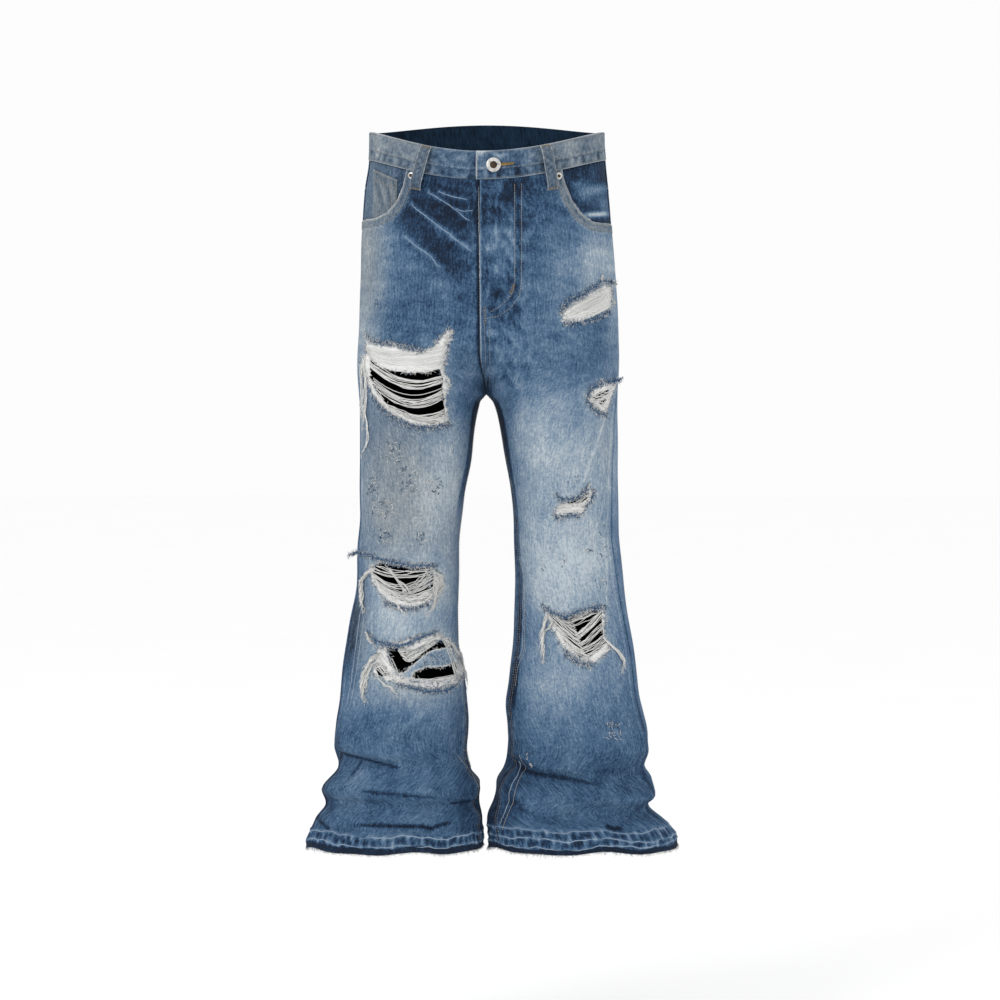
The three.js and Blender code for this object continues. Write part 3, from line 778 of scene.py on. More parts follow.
class Wash:
    """The fade that the wash and the wearer left on each point, with painted shade on the legs' sides and in
    troughs.
    """

    lines: list[tuple[Points, float, float]] = []

    @classmethod
    def front(cls, x: Array, z: Array, way: Array) -> tuple[Array, Array]:
        """Return the fade, with its painted side and crease shade, and the grime of points on the front.

        Args:
            x: across.
            z: real height.
            way: way round the panel, 0 at the outseam and 1 at the inseam.
        """
        fade = FRONT_FADE(z)
        for patch in PATCHES:
            fade = fade + patch.weigh(x, z)
        below = in_leg(z, 30)
        # Painted shade: the inner side of each leg is darkened where it turns away from the light.
        inner_side_shade = smooth((way - 0.74) / 0.2) * below
        fade = fade - 0.12 * inner_side_shade
        # Painted shade: a dark strip beside each inseam stands for the back panel's inner side seen in shade.
        for leg in LEGS.values():
            gap = -leg.sign * (leg.inseam(z) - x)
            right = leg.side is Side.RIGHT
            wide = 7.0 if right else 8.5 + 4 * smooth((-520 - z) / 80) * smooth((z + 790) / 40)
            until = smooth((z + 520) / 60) if right else smooth((z + 800) / 60)
            strip = smooth((wide - gap) / 2.2) * smooth((gap + 6) / 2) * until * below
            fade = fade - 0.40 * strip * (leg.sign * x > 0)
        # Painted shade: the lower outer side of each leg is darkened where it turns away from the light.
        outer_side_shade = smooth((0.2 - way) / 0.2) * smooth((-430 - z) / 120)
        fade = fade - 0.14 * outer_side_shade
        for line, half, change in cls.lines:
            near = beside(z, line, 4 * half)
            if near.any():
                gap = Plane.nearest(x[near], z[near], line)[0]
                fade[near] = fade[near] + change * bump(gap, half)
        # Creases: paler with wear on ridges, darkened with painted shade in troughs.
        for crease in Relief.creases:
            near = beside(z, crease.line, 12)
            if near.any():
                fade[near] = fade[near] + crease.wear_and_shade * crease.weigh(x[near], z[near], crease.wear_and_shade_half)
        fly = smooth((x + 3) / 3) * smooth((60 - x) / 8) * smooth((z + 335) / 24)
        fade = fade + 0.12 * fly * cloud(x, z * 0.7, 8.0)
        fade = fade + 0.05 * cloud(x * 0.4, z * 1.5, 12.0) * smooth((z + 400) / 80)
        fade = fade + 0.025 * cloud(x + 31, z * 0.6, 24.0)
        grime = sum(patch.weigh(x, z) for patch in GRIME)
        return np.clip(fade, 0, 1.1), np.clip(grime, 0, 1)

    @classmethod
    def back(cls, x: Array, z: Array, way: Array) -> tuple[Array, Array]:
        """Return the fade, with painted shade on the legs' sides and in crease troughs, and the grime of
        points on the back.
        """
        fade = BACK_FADE(z)
        side = np.sign(x)
        for at_x, at_z, wide, high, change in (
            (88, -190, 62, 60, 0.16), (150, -150, 30, 80, 0.2), (95, -500, 60, 120, 0.06),
            (105, -640, 60, 40, 0.08), (100, -330, 60, 24, -0.08),
        ):
            fade = fade + Patch(at_x, at_z, wide, high, change).weigh(x * side, z)
        behind_knee = bump(np.abs(x) - 105, 50)
        wide = 5 + 2 * np.sin(x * 0.09)
        for level, tilt, change in (
            (-566, 0.10, 0.10), (-592, -0.14, 0.14), (-611, 0.05, 0.08), (-640, -0.08, 0.12),
        ):
            middle = level + tilt * (np.abs(x) - 100) + 6 * np.sin(x * 0.043 + level)
            streak = 0.6 + 0.4 * np.sin(x * 0.13 + level * 0.7)
            fade = fade + change * streak * bump(z - middle, wide) * behind_knee
        # Creases: paler with wear on ridges, darkened with painted shade in troughs.
        for crease in Relief.back_creases:
            middle = sum(p[1] for p in crease.line) / len(crease.line)
            near = np.abs(z - middle) < 50
            if near.any():
                fade[near] = fade[near] + crease.wear_and_shade * crease.weigh(x[near], z[near], crease.wear_and_shade_half)
        outer = smooth((0.15 - way) / 0.1)
        fade = fade + outer * np.where(side > 0, 0.26 * bump(z + 425, 130), -0.12 * smooth((-540 - z) / 60))
        # Painted shade: the inner and the lower outer sides of each leg are darkened where they turn away
        # from the light.
        below = in_leg(z, 30)
        fade = fade - 0.22 * smooth((way - 0.78) / 0.2) * below
        fade = fade - 0.1 * smooth((0.12 - way) / 0.12) * smooth((-430 - z) / 120)
        grime = 0.25 * bump(np.abs(x) - 160, 30) * bump(z + 150, 120)
        return np.clip(fade, 0, 1.1), np.clip(grime, 0, 1)


class Hem:
    """The let-down raw hem: roped lines, puckers, a dark strip and a white fringe."""

    ROPES = {-1.0: (-928.5, -940.8), 1.0: (-921.5, -933.5, -942.6)}
    DARK_TOP = {-1.0: -942.2, 1.0: -944.2}

    @classmethod
    def line(cls, level: float, angle: Array, sign: float) -> Array:
        """Return the height of one rope round the leg, which wanders."""
        slow = 1.7 * np.sin(2 * angle + sign + level) + 1.2 * np.sin(7 * angle + 2 * level)
        return level + slow + 0.8 * np.sin(19 * angle + level) + 0.5 * np.sin(37 * angle - level)

    @classmethod
    def pucker(cls, z: Array, angle: Array) -> Array:
        """Return the uneven gathers between the ropes, from 0 to 1."""
        first = np.sin(71 * angle + 2.4 * np.sin(3 * angle) + 0.16 * z)
        second = np.sin(43 * angle + 1.7 * np.sin(5 * angle) - 0.11 * z)
        third = np.sin(17 * angle + 0.3 * z)
        return np.clip(0.36 + 0.4 * first + 0.3 * second + 0.2 * third, 0, 1)

    @classmethod
    def band(cls, z: Array, sign: float) -> Array:
        """Return how much of a point is in the gathered strip."""
        return smooth((cls.ROPES[sign][0] + 3 - z) / 4) * smooth((z + 946) / 3)

    @classmethod
    def relief(cls, z: Array, angle: Array, sign: float) -> Array:
        """Return how far the hem's ropes and puckers move the cloth out."""
        move = 1.5 * (cls.pucker(z, angle) - 0.5) * cls.band(z, sign)
        for level in cls.ROPES[sign]:
            move = move + 0.9 * bump(z - cls.line(level, angle, sign), 2.0)
        return move - 0.7 * smooth((-945 - z) / 2)

    @classmethod
    def fade(cls, z: Array, angle: Array, sign: float, fade: Array) -> Array:
        """Return the fade with the hem's own wear on it; pucker crests are paler, part wear and part painted
        highlight, and their gaps painted shade.
        """
        # Pucker crests are paler, part wear and part painted highlight; the gaps between are painted shade.
        out = mix(fade, 0.06 + 0.50 * cls.pucker(z, angle) ** 1.6, 0.9 * cls.band(z, sign))
        for level in cls.ROPES[sign]:
            out = out + 0.26 * bump(z - cls.line(level, angle, sign), 2.2)
        dark = smooth((cls.DARK_TOP[sign] + 0.9 * np.sin(11 * angle) - z) / 1.4)
        return mix(out, -0.02, dark)


# ------------------------------------------------------------------ rips and threads
@dataclass(frozen=True)
class ThreadRun:
    """White cross threads left across a hole, fanned between two edges."""

    left: tuple[tuple[float, float], tuple[float, float]]
    right: tuple[tuple[float, float], tuple[float, float]]
    sag: tuple[float, float]
    count: int
    bow: float = 2.0
    thickness: float = 0.46
    jitter: float = 1.0
    shade: float = 0.86

    def paths(self, rng: np.random.Generator) -> Array:
        """Return the threads' points as (thread, point, 3)."""
        share = (np.arange(self.count) + 0.5) / self.count
        share = np.clip(share + rng.normal(0, 0.25 / self.count, self.count), 0, 1)[:, None]
        t = np.linspace(0, 1, 12)[None, :]
        (ax0, az0), (ax1, az1) = self.left
        (bx0, bz0), (bx1, bz1) = self.right
        noise = rng.normal(0, self.jitter, (self.count, 4))
        ax, az = mix(ax0, ax1, share) + noise[:, :1] * 1.2, mix(az0, az1, share) + noise[:, 1:2] * 0.5
        bx, bz = mix(bx0, bx1, share) + noise[:, 2:3] * 1.2, mix(bz0, bz1, share) + noise[:, 3:] * 0.5
        sag = mix(self.sag[0], self.sag[1], share) * (1 + rng.normal(0, 0.07, (self.count, 1)))
        hang = 4 * t * (1 - t)
        wander = rng.normal(0, 0.75 * self.jitter, (self.count, 1)) * np.sin(2 * np.pi * t)
        wander = wander + rng.normal(0, 0.35 * self.jitter, (self.count, 1)) * np.sin(5 * np.pi * t)
        ripple = rng.normal(0, 0.24 * self.jitter, (self.count, t.shape[1]))
        x = mix(ax, bx, t) + ripple * 0.4
        z = mix(az, bz, t) - sag * hang + wander + ripple
        ends = np.clip(np.minimum(t, 1 - t) / 0.08, 0, 1)
        out = 0.9 - (self.bow + 0.9) * hang * ends + rng.normal(0, 0.35, (self.count, 1)) * hang
        return Form.on_front(x, z, out)


@dataclass(frozen=True)
class Curl:
    """A torn edge that has rolled up into a dark fuzzy cord."""

    line: Points
    radius: float = 1.7
    fuzz: int = 3


@dataclass(frozen=True)
class Tassel:
    """A bundle of loose threads that hangs from the edge of a hole."""

    line: Points
    strands: int = 7
    spread: float = 1.6
    out: float = 2.2


@dataclass(frozen=True)
class Rip:
    """One torn place: holes, bare white cross threads, rolled edges and hanging threads."""

    leg: Side
    holes: tuple[Points, ...]
    bare: tuple[Points, ...]
    runs: tuple[ThreadRun, ...] = ()
    curls: tuple[Curl, ...] = ()
    tassels: tuple[Tassel, ...] = ()
    halo: float = 5.0


@dataclass(frozen=True)
class Scuff:
    """A small worn place with a few broken curls of thread."""

    x: float
    z: float
    wide: float
    high: float
    count: int = 14


CURL_LEAVES = 9.0
THIGH_RIP = Rip(
    Side.RIGHT,
    holes=((
        (-153, -282), (-144, -295), (-125, -301), (-100, -304), (-78, -303), (-62, -298),
        (-57, -315), (-57, -343), (-54, -365), (-73, -372), (-100, -365), (-118, -357),
        (-132, -347), (-146, -333), (-156, -308),
    ),),
    bare=((
        (-163, -251), (-156, -263), (-140, -267), (-119, -268), (-100, -274), (-86, -276),
        (-72, -271), (-62, -258), (-50, -246), (-45, -251), (-50, -267), (-54, -287),
        (-57, -302), (-50, -317), (-55, -343), (-51, -371), (-73, -376), (-100, -372),
        (-119, -364), (-135, -353), (-152, -335), (-162, -304), (-169, -288), (-160, -278),
    ),),
    runs=(
        ThreadRun(((-160, -270), (-154, -284)), ((-54, -268), (-58, -287)), (6, 8), 50, 0.5, 0.6, 0.8, 0.97),
        ThreadRun(((-158, -279), (-151, -288)), ((-54, -280), (-58, -292)), (6, 8), 18, 0.8, 0.5, 1.0, 0.92),
        ThreadRun(
            ((-155, -288), (-151, -299)), ((-58, -307), (-58, -317)), (15, 19), 12, 2.2, 0.56, 1.0, 0.86,
        ),
        ThreadRun(
            ((-151, -310), (-144, -328)), ((-58, -324), (-59, -340)), (19, 15.5), 13, 2.6, 0.56, 1.0, 0.84,
        ),
        ThreadRun(
            ((-134, -344), (-124, -356)), ((-58, -352), (-54, -365)), (11.5, 8), 14, 2.0, 0.54, 1.2, 0.86,
        ),
        ThreadRun(((-131, -349), (-120, -361)), ((-57, -360), (-54, -369)), (8, 6), 9, 1.2, 0.52, 1.2, 0.88),
        ThreadRun(
            ((-168, -290), (-161, -314)), ((-139, -340), (-126, -356)), (2, 6), 13, 0.2, 0.52, 1.4, 0.86,
        ),
    ),
    curls=(
        Curl(((-152, -336), (-142, -349), (-131, -359), (-119, -366), (-100, -374), (-83, -377),
            (-67, -376), (-50, -372)), 0.9, 6),
        Curl(((-159, -255), (-149, -262), (-136, -264), (-119, -266), (-100, -271), (-84, -274)), 0.3, 5),
    ),
    tassels=(
        Tassel(((-161, -279), (-166, -303), (-165, -330), (-168, -356), (-161, -378)), 7, 1.5),
        Tassel(((-163, -287), (-159, -319), (-161, -346), (-164, -367), (-166, -380)), 6, 1.8),
        Tassel(((-166, -347), (-160, -367), (-157, -388), (-160, -403), (-168, -417)), 3, 0.9),
        Tassel(((-56, -266), (-50, -255), (-45, -247)), 9, 1.6, 0.8),
        Tassel(((-57, -305), (-51, -313), (-49, -319)), 5, 0.8, 1.0),
    ),
    halo=4.0,
)
ABOVE_KNEE_RIP = Rip(
    Side.RIGHT,
    holes=((
        (-155, -564), (-141, -558), (-120, -561), (-99, -565), (-76, -563), (-71, -578),
        (-73, -597), (-83, -610), (-105, -612), (-125, -605), (-141, -593), (-152, -577),
    ),),
    bare=((
        (-158, -565), (-141, -558), (-112, -562), (-79, -563), (-65, -572), (-60, -585),
        (-63, -599), (-75, -608), (-80, -614), (-109, -620), (-133, -612), (-154, -587),
    ), (
        (-76, -570), (-67, -572), (-60, -583), (-61, -596), (-69, -605), (-77, -597),
    ),),
    runs=(
        ThreadRun(((-148, -562), (-154, -572)), ((-73, -565), (-72, -573)), (5, 8), 6, 1.2, 0.55, 1.3, 0.84),
        ThreadRun(((-155, -572), (-151, -581)), ((-72, -574), (-73, -585)), (13, 18), 9, 1.8, 0.56, 1.7, 0.8),
        ThreadRun(
            ((-151, -582), (-141, -594)), ((-73, -586), (-73, -597)), (15, 12), 9, 1.6, 0.58, 2.4, 0.84,
        ),
        ThreadRun(
            ((-143, -593), (-127, -606)), ((-72, -594), (-76, -608)), (10, 4), 12, 1.0, 0.55, 2.2, 0.86,
        ),
        ThreadRun(((-137, -565), (-129, -565)), ((-111, -597), (-97, -602)), (-2, 2), 6, 0.6, 0.5, 2.0, 0.84),
        ThreadRun(((-79, -567), (-76, -578)), ((-121, -600), (-111, -605)), (3, 6), 8, 0.6, 0.48, 1.6, 0.84),
    ),
    curls=(
        Curl(((-185, -550), (-175, -547), (-162, -549), (-141, -554), (-120, -558), (-99, -562),
            (-76, -562), (-68, -563)), 1.5, 6),
        Curl(((-137, -612), (-124, -617), (-109, -620), (-95, -620), (-79, -614)), 0.7, 5),
    ),
    tassels=(
        Tassel(((-151, -568), (-162, -574), (-169, -586), (-169, -603), (-166, -624)), 13, 2.6),
        Tassel(((-72, -594), (-69, -606), (-72, -619), (-81, -628)), 8, 1.5),
        Tassel(((-73, -570), (-63, -577), (-61, -593), (-71, -605)), 10, 2.6),
        Tassel(((-72, -576), (-65, -587), (-71, -600), (-65, -608)), 7, 2.0),
        Tassel(((-121, -613), (-115, -622), (-108, -628)), 4, 1.6),
    ),
)
KNEE_RIP = Rip(
    Side.RIGHT,
    holes=((
        (-135, -672), (-116, -670), (-100, -676), (-81, -668), (-63, -661), (-51, -667),
        (-45, -678), (-56, -675), (-71, -676), (-84, -683), (-95, -692), (-104, -699),
        (-112, -707), (-124, -705), (-132, -690),
    ), (
        (-98, -706), (-83, -700), (-65, -701), (-51, -699), (-43, -694), (-37, -704),
        (-44, -716), (-65, -720), (-87, -717), (-100, -714),
    ), (
        (-153, -697), (-145, -692), (-135, -699), (-130, -711), (-145, -712),
    )),
    bare=((
        (-146, -675), (-134, -670), (-130, -688), (-122, -707), (-100, -718), (-65, -722),
        (-39, -717), (-27, -715), (-43, -724), (-64, -728), (-96, -726), (-135, -717),
        (-155, -711),
    ), (
        (-135, -666), (-116, -664), (-89, -656), (-65, -652), (-59, -663), (-76, -668),
        (-97, -679), (-111, -672), (-128, -672),
    ), (
        (-60, -662), (-49, -667), (-39, -682), (-32, -700), (-29, -717), (-37, -717),
        (-37, -700), (-45, -678), (-55, -668),
    )),
    runs=(
        ThreadRun(
            ((-138, -672), (-151, -700)), ((-119, -710), (-130, -713)), (-6, -2), 16, 1.0, 0.52, 1.6, 0.88,
        ),
        ThreadRun(
            ((-142, -678), (-155, -695)), ((-81, -717), (-103, -714)), (12, 14), 10, 1.2, 0.52, 1.6, 0.88,
        ),
        ThreadRun(((-122, -670), (-111, -688)), ((-60, -653), (-100, -692)), (2, 3), 26, 0.8, 0.5, 1.0, 0.88),
        ThreadRun(((-111, -668), (-103, -691)), ((-65, -653), (-60, -659)), (-1, 3), 26, 1.4, 0.5, 0.9, 0.9),
        ThreadRun(((-127, -710), (-119, -719)), ((-41, -711), (-33, -722)), (5, 3), 22, 0.4, 0.5, 1.2, 0.9),
        ThreadRun(((-59, -662), (-53, -662)), ((-44, -711), (-35, -716)), (-3, -5), 14, 0.4, 0.48, 1.1, 0.84),
        ThreadRun(
            ((-151, -700), (-138, -710)), ((-128, -691), (-120, -705)), (1, 2), 3, 1.0, 0.48, 1.4, 0.84,
        ),
    ),
    curls=(
        Curl(((-159, -654), (-149, -663), (-135, -668), (-116, -670), (-100, -665), (-84, -657),
            (-67, -652)), 1.6, 4),
        Curl(((-119, -722), (-100, -727), (-79, -732), (-55, -732), (-39, -724)), 1.3, 3),
    ),
    tassels=(
        Tassel(((-146, -682), (-158, -693), (-166, -711), (-168, -730), (-165, -745)), 15, 2.6),
        Tassel(((-155, -695), (-162, -714), (-165, -733)), 9, 2.0),
        Tassel(((-146, -715), (-136, -724), (-128, -726), (-122, -736)), 6, 2.4),
        Tassel(((-59, -663), (-49, -670), (-41, -684), (-33, -693), (-35, -706)), 8, 1.6),
        Tassel(((-40, -695), (-35, -708), (-28, -719), (-27, -733)), 7, 1.4),
        Tassel(((-162, -653), (-158, -664), (-151, -670)), 8, 1.8, 1.2),
    ),
)
HIP_PATCH = Rip(
    Side.LEFT,
    holes=((
        (145, -202), (156, -198), (162, -196), (161, -200), (150, -204),
    ),),
    bare=((
        (98, -225), (112, -214), (121, -209), (139, -198), (154, -190), (166, -185),
        (169, -198), (164, -217), (147, -225), (130, -230), (110, -237), (101, -237),
    ),),
    runs=(
        ThreadRun(((101, -224), (113, -237)), ((165, -189), (164, -217)), (-1, 3), 58, -0.6, 0.6, 0.8, 0.95),
        ThreadRun(((105, -220), (137, -229)), ((166, -188), (165, -211)), (0, 4), 26, -1.2, 0.5, 1.2, 0.95),
    ),
    curls=(
        Curl(((97, -221), (105, -212), (114, -205), (126, -200), (139, -192), (153, -182),
            (166, -182), (173, -185)), 1.5, 5),
        Curl(((101, -239), (116, -238), (134, -235), (150, -231), (165, -222)), 1.1, 4),
    ),
    tassels=(
        Tassel(((154, -185), (153, -178), (155, -173)), 5, 1.0, 1.4),
        Tassel(((165, -202), (171, -210), (169, -218)), 6, 1.4, 1.0),
    ),
    halo=3.0,
)
THIGH_SIDE_RIP = Rip(
    Side.LEFT,
    holes=((
        (140, -336), (150, -330), (163, -326), (163, -331), (154, -336), (143, -342),
    ), (
        (148, -344), (156, -338), (160, -340), (152, -350),
    ),),
    bare=((
        (134, -338), (140, -328), (155, -322), (169, -318), (174, -322), (167, -335),
        (163, -350), (158, -359), (147, -352), (136, -343),
    ),),
    runs=(
        ThreadRun(((135, -336), (148, -354)), ((170, -318), (159, -359)), (1, 2), 11, -0.3, 0.5, 1.4, 0.93),
        ThreadRun(((140, -330), (138, -343)), ((167, -325), (161, -351)), (2, 1), 6, -0.8, 0.5, 1.6, 0.93),
    ),
    curls=(
        Curl(((132, -335), (139, -324), (151, -318), (163, -315), (176, -314), (182, -311)), 1.2, 4),
        Curl(((134, -343), (142, -354), (151, -359), (161, -362)), 1.1, 4),
    ),
    tassels=(
        Tassel(((155, -319), (152, -312)), 4, 0.8, 1.0),
    ),
    halo=3.0,
)
MID_THIGH_RIP = Rip(
    Side.LEFT,
    holes=((
        (107, -476), (118, -473), (126, -468), (135, -462), (138, -467), (130, -475),
        (120, -480), (110, -480),
    ),),
    bare=((
        (92, -484), (104, -475), (122, -471), (134, -459), (142, -460), (138, -475),
        (128, -485), (127, -493), (114, -489), (98, -493), (91, -497),
    ),),
    runs=(
        ThreadRun(((95, -481), (99, -491)), ((134, -476), (127, -491)), (0, 2), 15, -0.2, 0.5, 1.2, 0.93),
        ThreadRun(((111, -475), (119, -483)), ((135, -462), (136, -474)), (0, 2), 5, 0.6, 0.48, 1.5, 0.9),
        ThreadRun(((100, -483), (108, -489)), ((140, -459), (134, -478)), (1, 3), 4, 0.2, 0.48, 1.5, 0.9),
    ),
    curls=(
        Curl(((92, -465), (99, -472), (111, -472), (122, -468), (131, -461), (135, -452)), 1.1, 3),
        Curl(((130, -483), (138, -475), (143, -464)), 0.8, 3),
        Curl(((92, -499), (102, -495), (114, -493), (124, -496)), 0.8, 3),
    ),
    tassels=(
        Tassel(((135, -458), (136, -452)), 3, 0.8, 0.8),
    ),
    halo=3.0,
)
CHEVRON_RIP = Rip(
    Side.LEFT,
    holes=((
        (81, -623), (93, -628), (107, -632), (122, -627), (138, -623), (154, -623),
        (154, -637), (156, -654), (160, -668), (149, -678), (138, -686), (125, -686),
        (113, -675), (101, -659), (89, -640),
    ),),
    bare=((
        (77, -617), (89, -627), (106, -631), (125, -623), (142, -623), (157, -620),
        (158, -638), (157, -658), (167, -675), (154, -685), (144, -693), (126, -688),
        (107, -678), (91, -654),
    ),),
    runs=(
        ThreadRun(((78, -620), (93, -648)), ((123, -656), (129, -682)), (0, 3), 15, 1.6, 0.54, 1.1, 0.88),
        ThreadRun(((95, -651), (114, -678)), ((130, -678), (138, -690)), (3, 3), 12, 0.8, 0.52, 1.1, 0.92),
        ThreadRun(((119, -654), (122, -662)), ((153, -623), (154, -631)), (2, 3), 12, 2.0, 0.52, 1.0, 0.88),
        ThreadRun(((122, -666), (125, -672)), ((156, -639), (156, -649)), (2, 3), 8, 2.2, 0.5, 1.0, 0.84),
        ThreadRun(((126, -675), (129, -680)), ((157, -654), (160, -664)), (2, 3), 8, 2.0, 0.5, 1.0, 0.86),
        ThreadRun(((130, -683), (136, -691)), ((161, -666), (165, -676)), (1, 1), 14, 0.8, 0.5, 1.0, 0.92),
        ThreadRun(((106, -632), (114, -640)), ((130, -624), (141, -624)), (1, 2), 7, 1.4, 0.46, 1.0, 0.86),
        ThreadRun(((83, -621), (90, -629)), ((117, -641), (125, -656)), (1, 3), 7, 1.4, 0.5, 1.1, 0.86),
        ThreadRun(((98, -633), (111, -648)), ((141, -626), (154, -626)), (1, 3), 5, 1.8, 0.5, 1.2, 0.84),
    ),
    curls=(
        Curl(((75, -615), (83, -623), (94, -628), (107, -631), (119, -625), (135, -620), (149, -619),
            (160, -618)), 1.4, 4),
        Curl(((106, -682), (122, -693), (141, -697)), 0.8, 4),
    ),
    tassels=(
        Tassel(((81, -624), (79, -637), (75, -654), (75, -675), (75, -691)), 13, 2.2),
        Tassel(((83, -629), (89, -637), (85, -646), (78, -652)), 6, 1.2),
        Tassel(((156, -660), (164, -669), (175, -679), (184, -693), (182, -705)), 9, 1.5),
    ),
    halo=4.0,
)
RIPS = (
    THIGH_RIP, ABOVE_KNEE_RIP, KNEE_RIP, HIP_PATCH, THIGH_SIDE_RIP, MID_THIGH_RIP, CHEVRON_RIP,
)
SCUFFS = {
    Side.RIGHT: (
        Scuff(-125, -410, 11, 13, 40), Scuff(-152, -455, 7, 13, 30), Scuff(-106, -449, 12, 18, 46),
        Scuff(-70, -455, 11, 10, 34), Scuff(-141, -487, 14, 12, 48), Scuff(-136, -523, 11, 10, 28),
        Scuff(-68, -691, 20, 9, 34), Scuff(-84, -696, 10, 5, 12),
        Scuff(-88, -524, 5, 10, 18), Scuff(-48, -409, 2, 6, 4), Scuff(-147, -207, 4, 8, 6),
    ),
    Side.LEFT: (
        Scuff(72, -559, 5, 7, 7), Scuff(102, -558, 6, 10, 8), Scuff(156, -544, 5, 9, 8),
        Scuff(134, -543, 4, 5, 8), Scuff(171, -787, 8, 13, 44), Scuff(54, -821, 2, 4, 8),
        Scuff(59, -834, 2, 6, 10), Scuff(114, -447, 6, 6, 6), Scuff(153, -588, 8, 10, 10),
        Scuff(154, -514, 4, 8, 5),
    ),
}


class Fray:
    """Makes the loose threads of the rips, and knows where the cloth is gone or bare."""

    def __init__(self) -> None:
        """Roughen each hole's outline and start the pieces that the threads join."""
        rng = np.random.default_rng(RNG_SEED)
        self.rng = rng
        self.holes: dict[Side, list[Array]] = {side: [] for side in Side}
        self.bare: dict[Side, list[tuple[Array, float]]] = {side: [] for side in Side}
        for rip in RIPS:
            for outline in rip.holes:
                walk = Plane.walk(outline, 2.6, True)
                self.holes[rip.leg].append(walk + rng.normal(0, 0.55, walk.shape))
            for outline in rip.bare:
                self.bare[rip.leg].append((np.array(outline, float), rip.halo))
        self.threads = {side: Strands(f"rip_threads_{side.value}") for side in Side}
        self.fuzz = {side: Strands(f"rip_fuzz_{side.value}") for side in Side}
        self.rolls = {side: Strands(f"rip_rolled_edges_{side.value}", 6) for side in Side}

    def gap(self, side: Side, x: Array, z: Array) -> Array:
        """Return how far each point is from a hole, negative inside one."""
        best = np.full(x.shape, 99.0)
        for outline in self.holes[side]:
            near = beside(z, outline, 20)
            if near.any():
                best[near] = np.minimum(best[near], Plane.signed(x[near], z[near], outline))
        return best

    def whiteness(self, side: Side, x: Array, z: Array) -> tuple[Array, Array]:
        """Return how bare the cloth is and how pale the wash left it round a rip."""
        bare = np.zeros(x.shape)
        halo = np.zeros(x.shape)
        grain = 0.5 + 0.5 * np.sin(x * 2.9 + 3 * np.sin(z * 0.7)) * np.sin(z * 2.3 + 2 * np.sin(x * 0.9))
        for outline, reach in self.bare[side]:
            near = beside(z, outline, 40)
            if not near.any():
                continue
            gap = Plane.signed(x[near], z[near], outline)
            gap = gap + (grain[near] - 0.5) * 3.0
            bare[near] = np.maximum(bare[near], smooth(0.5 - gap / 2.4))
            halo[near] = np.maximum(halo[near], np.exp(-np.maximum(gap, 0) / (1.6 * reach)))
        edge = self.gap(side, x, z)
        bare = np.maximum(bare, np.exp(-np.maximum(edge - 0.6, 0) / 1.3) * (0.35 + 0.65 * grain))
        return np.clip(bare, 0, 1), np.clip(halo, 0, 1)

    @staticmethod
    def curl_fibre(
        x: Array, z: Array, length: Array, turn: Array, spin: Array, out: Array, leave: float | None = None
    ) -> Array:
        """Return short curved fibres that start on the cloth and lift off it.

        Args:
            x: where each starts, across.
            z: where each starts, in height.
            length: how long each is.
            turn: the direction of each on the cloth, in radians.
            spin: how far each turns on the way.
            out: how far each one's tip stands off.
            leave: where the line that they start on leaves the cloth, as on_front takes it.

        Returns:
            Points as (fibre, point, 3).
        """
        t = np.linspace(0, 1, 4)[None, :]
        way = turn[:, None] + spin[:, None] * t
        step = length[:, None] / 3
        dx = np.concatenate([np.zeros((len(x), 1)), np.cumsum(np.cos(way[:, 1:]) * step, 1)], 1)
        dz = np.concatenate([np.zeros((len(x), 1)), np.cumsum(np.sin(way[:, 1:]) * step, 1)], 1)
        start = Form.on_front(x, z, 0.2, leave)
        away = Form.on_front(x, z, 1.2, leave) - start
        along = unit(np.stack([-away[:, 1], away[:, 0], 0 * x], -1))
        paths = start[:, None] + along[:, None] * dx[..., None]
        paths = paths + away[:, None] * (out[:, None] * t)[..., None]
        paths[..., 2] += dz
        return paths

    def edge_fibres(self, side: Side, outline: Points, per_mm: float, blue: float, long: float) -> None:
        """Scatter broken fibres along a torn edge.

        Args:
            side: the leg.
            outline: the closed outline of the tear.
            per_mm: how many fibres start on each millimetre.
            blue: the share of them that is still blue.
            long: how long they are.
        """
        rng = self.rng
        corners = np.array(outline, float)
        count = int(np.sum(np.hypot(*np.diff(corners, axis=0).T)) * per_mm)
        walk = Plane.walk(corners, 1.0, True)
        at = rng.integers(0, len(walk), count)
        x = walk[at, 0] + rng.normal(0, 0.9, count)
        z = walk[at, 1] + rng.normal(0, 0.9, count)
        length = np.abs(rng.normal(long, 0.4 * long, count)) + 1.2
        turn = rng.uniform(0, 2 * np.pi, count)
        spin = rng.normal(0, 1.5, count)
        paths = self.curl_fibre(x, z, length, turn, spin, np.abs(rng.normal(0.9, 0.7, count)))
        radius = 0.25 * np.array([1.0, 1.0, 0.9, 0.35])
        is_blue = rng.random(count) < blue
        tone = np.where(is_blue, rng.uniform(0.35, 0.95, count), rng.uniform(0.8, 1.0, count))
        self.fuzz[side].add(paths, radius, tone, is_blue.astype(float))

    def roll(self, side: Side, curl: Curl) -> None:
        """Roll a torn edge into a lumpy cord with fuzz round it."""
        rng = self.rng
        walk = Plane.walk(curl.line, 1.6)
        run = np.linspace(0, 1, len(walk))
        taper = np.clip(np.minimum(run, 1 - run) / 0.12, 0.25, 1)
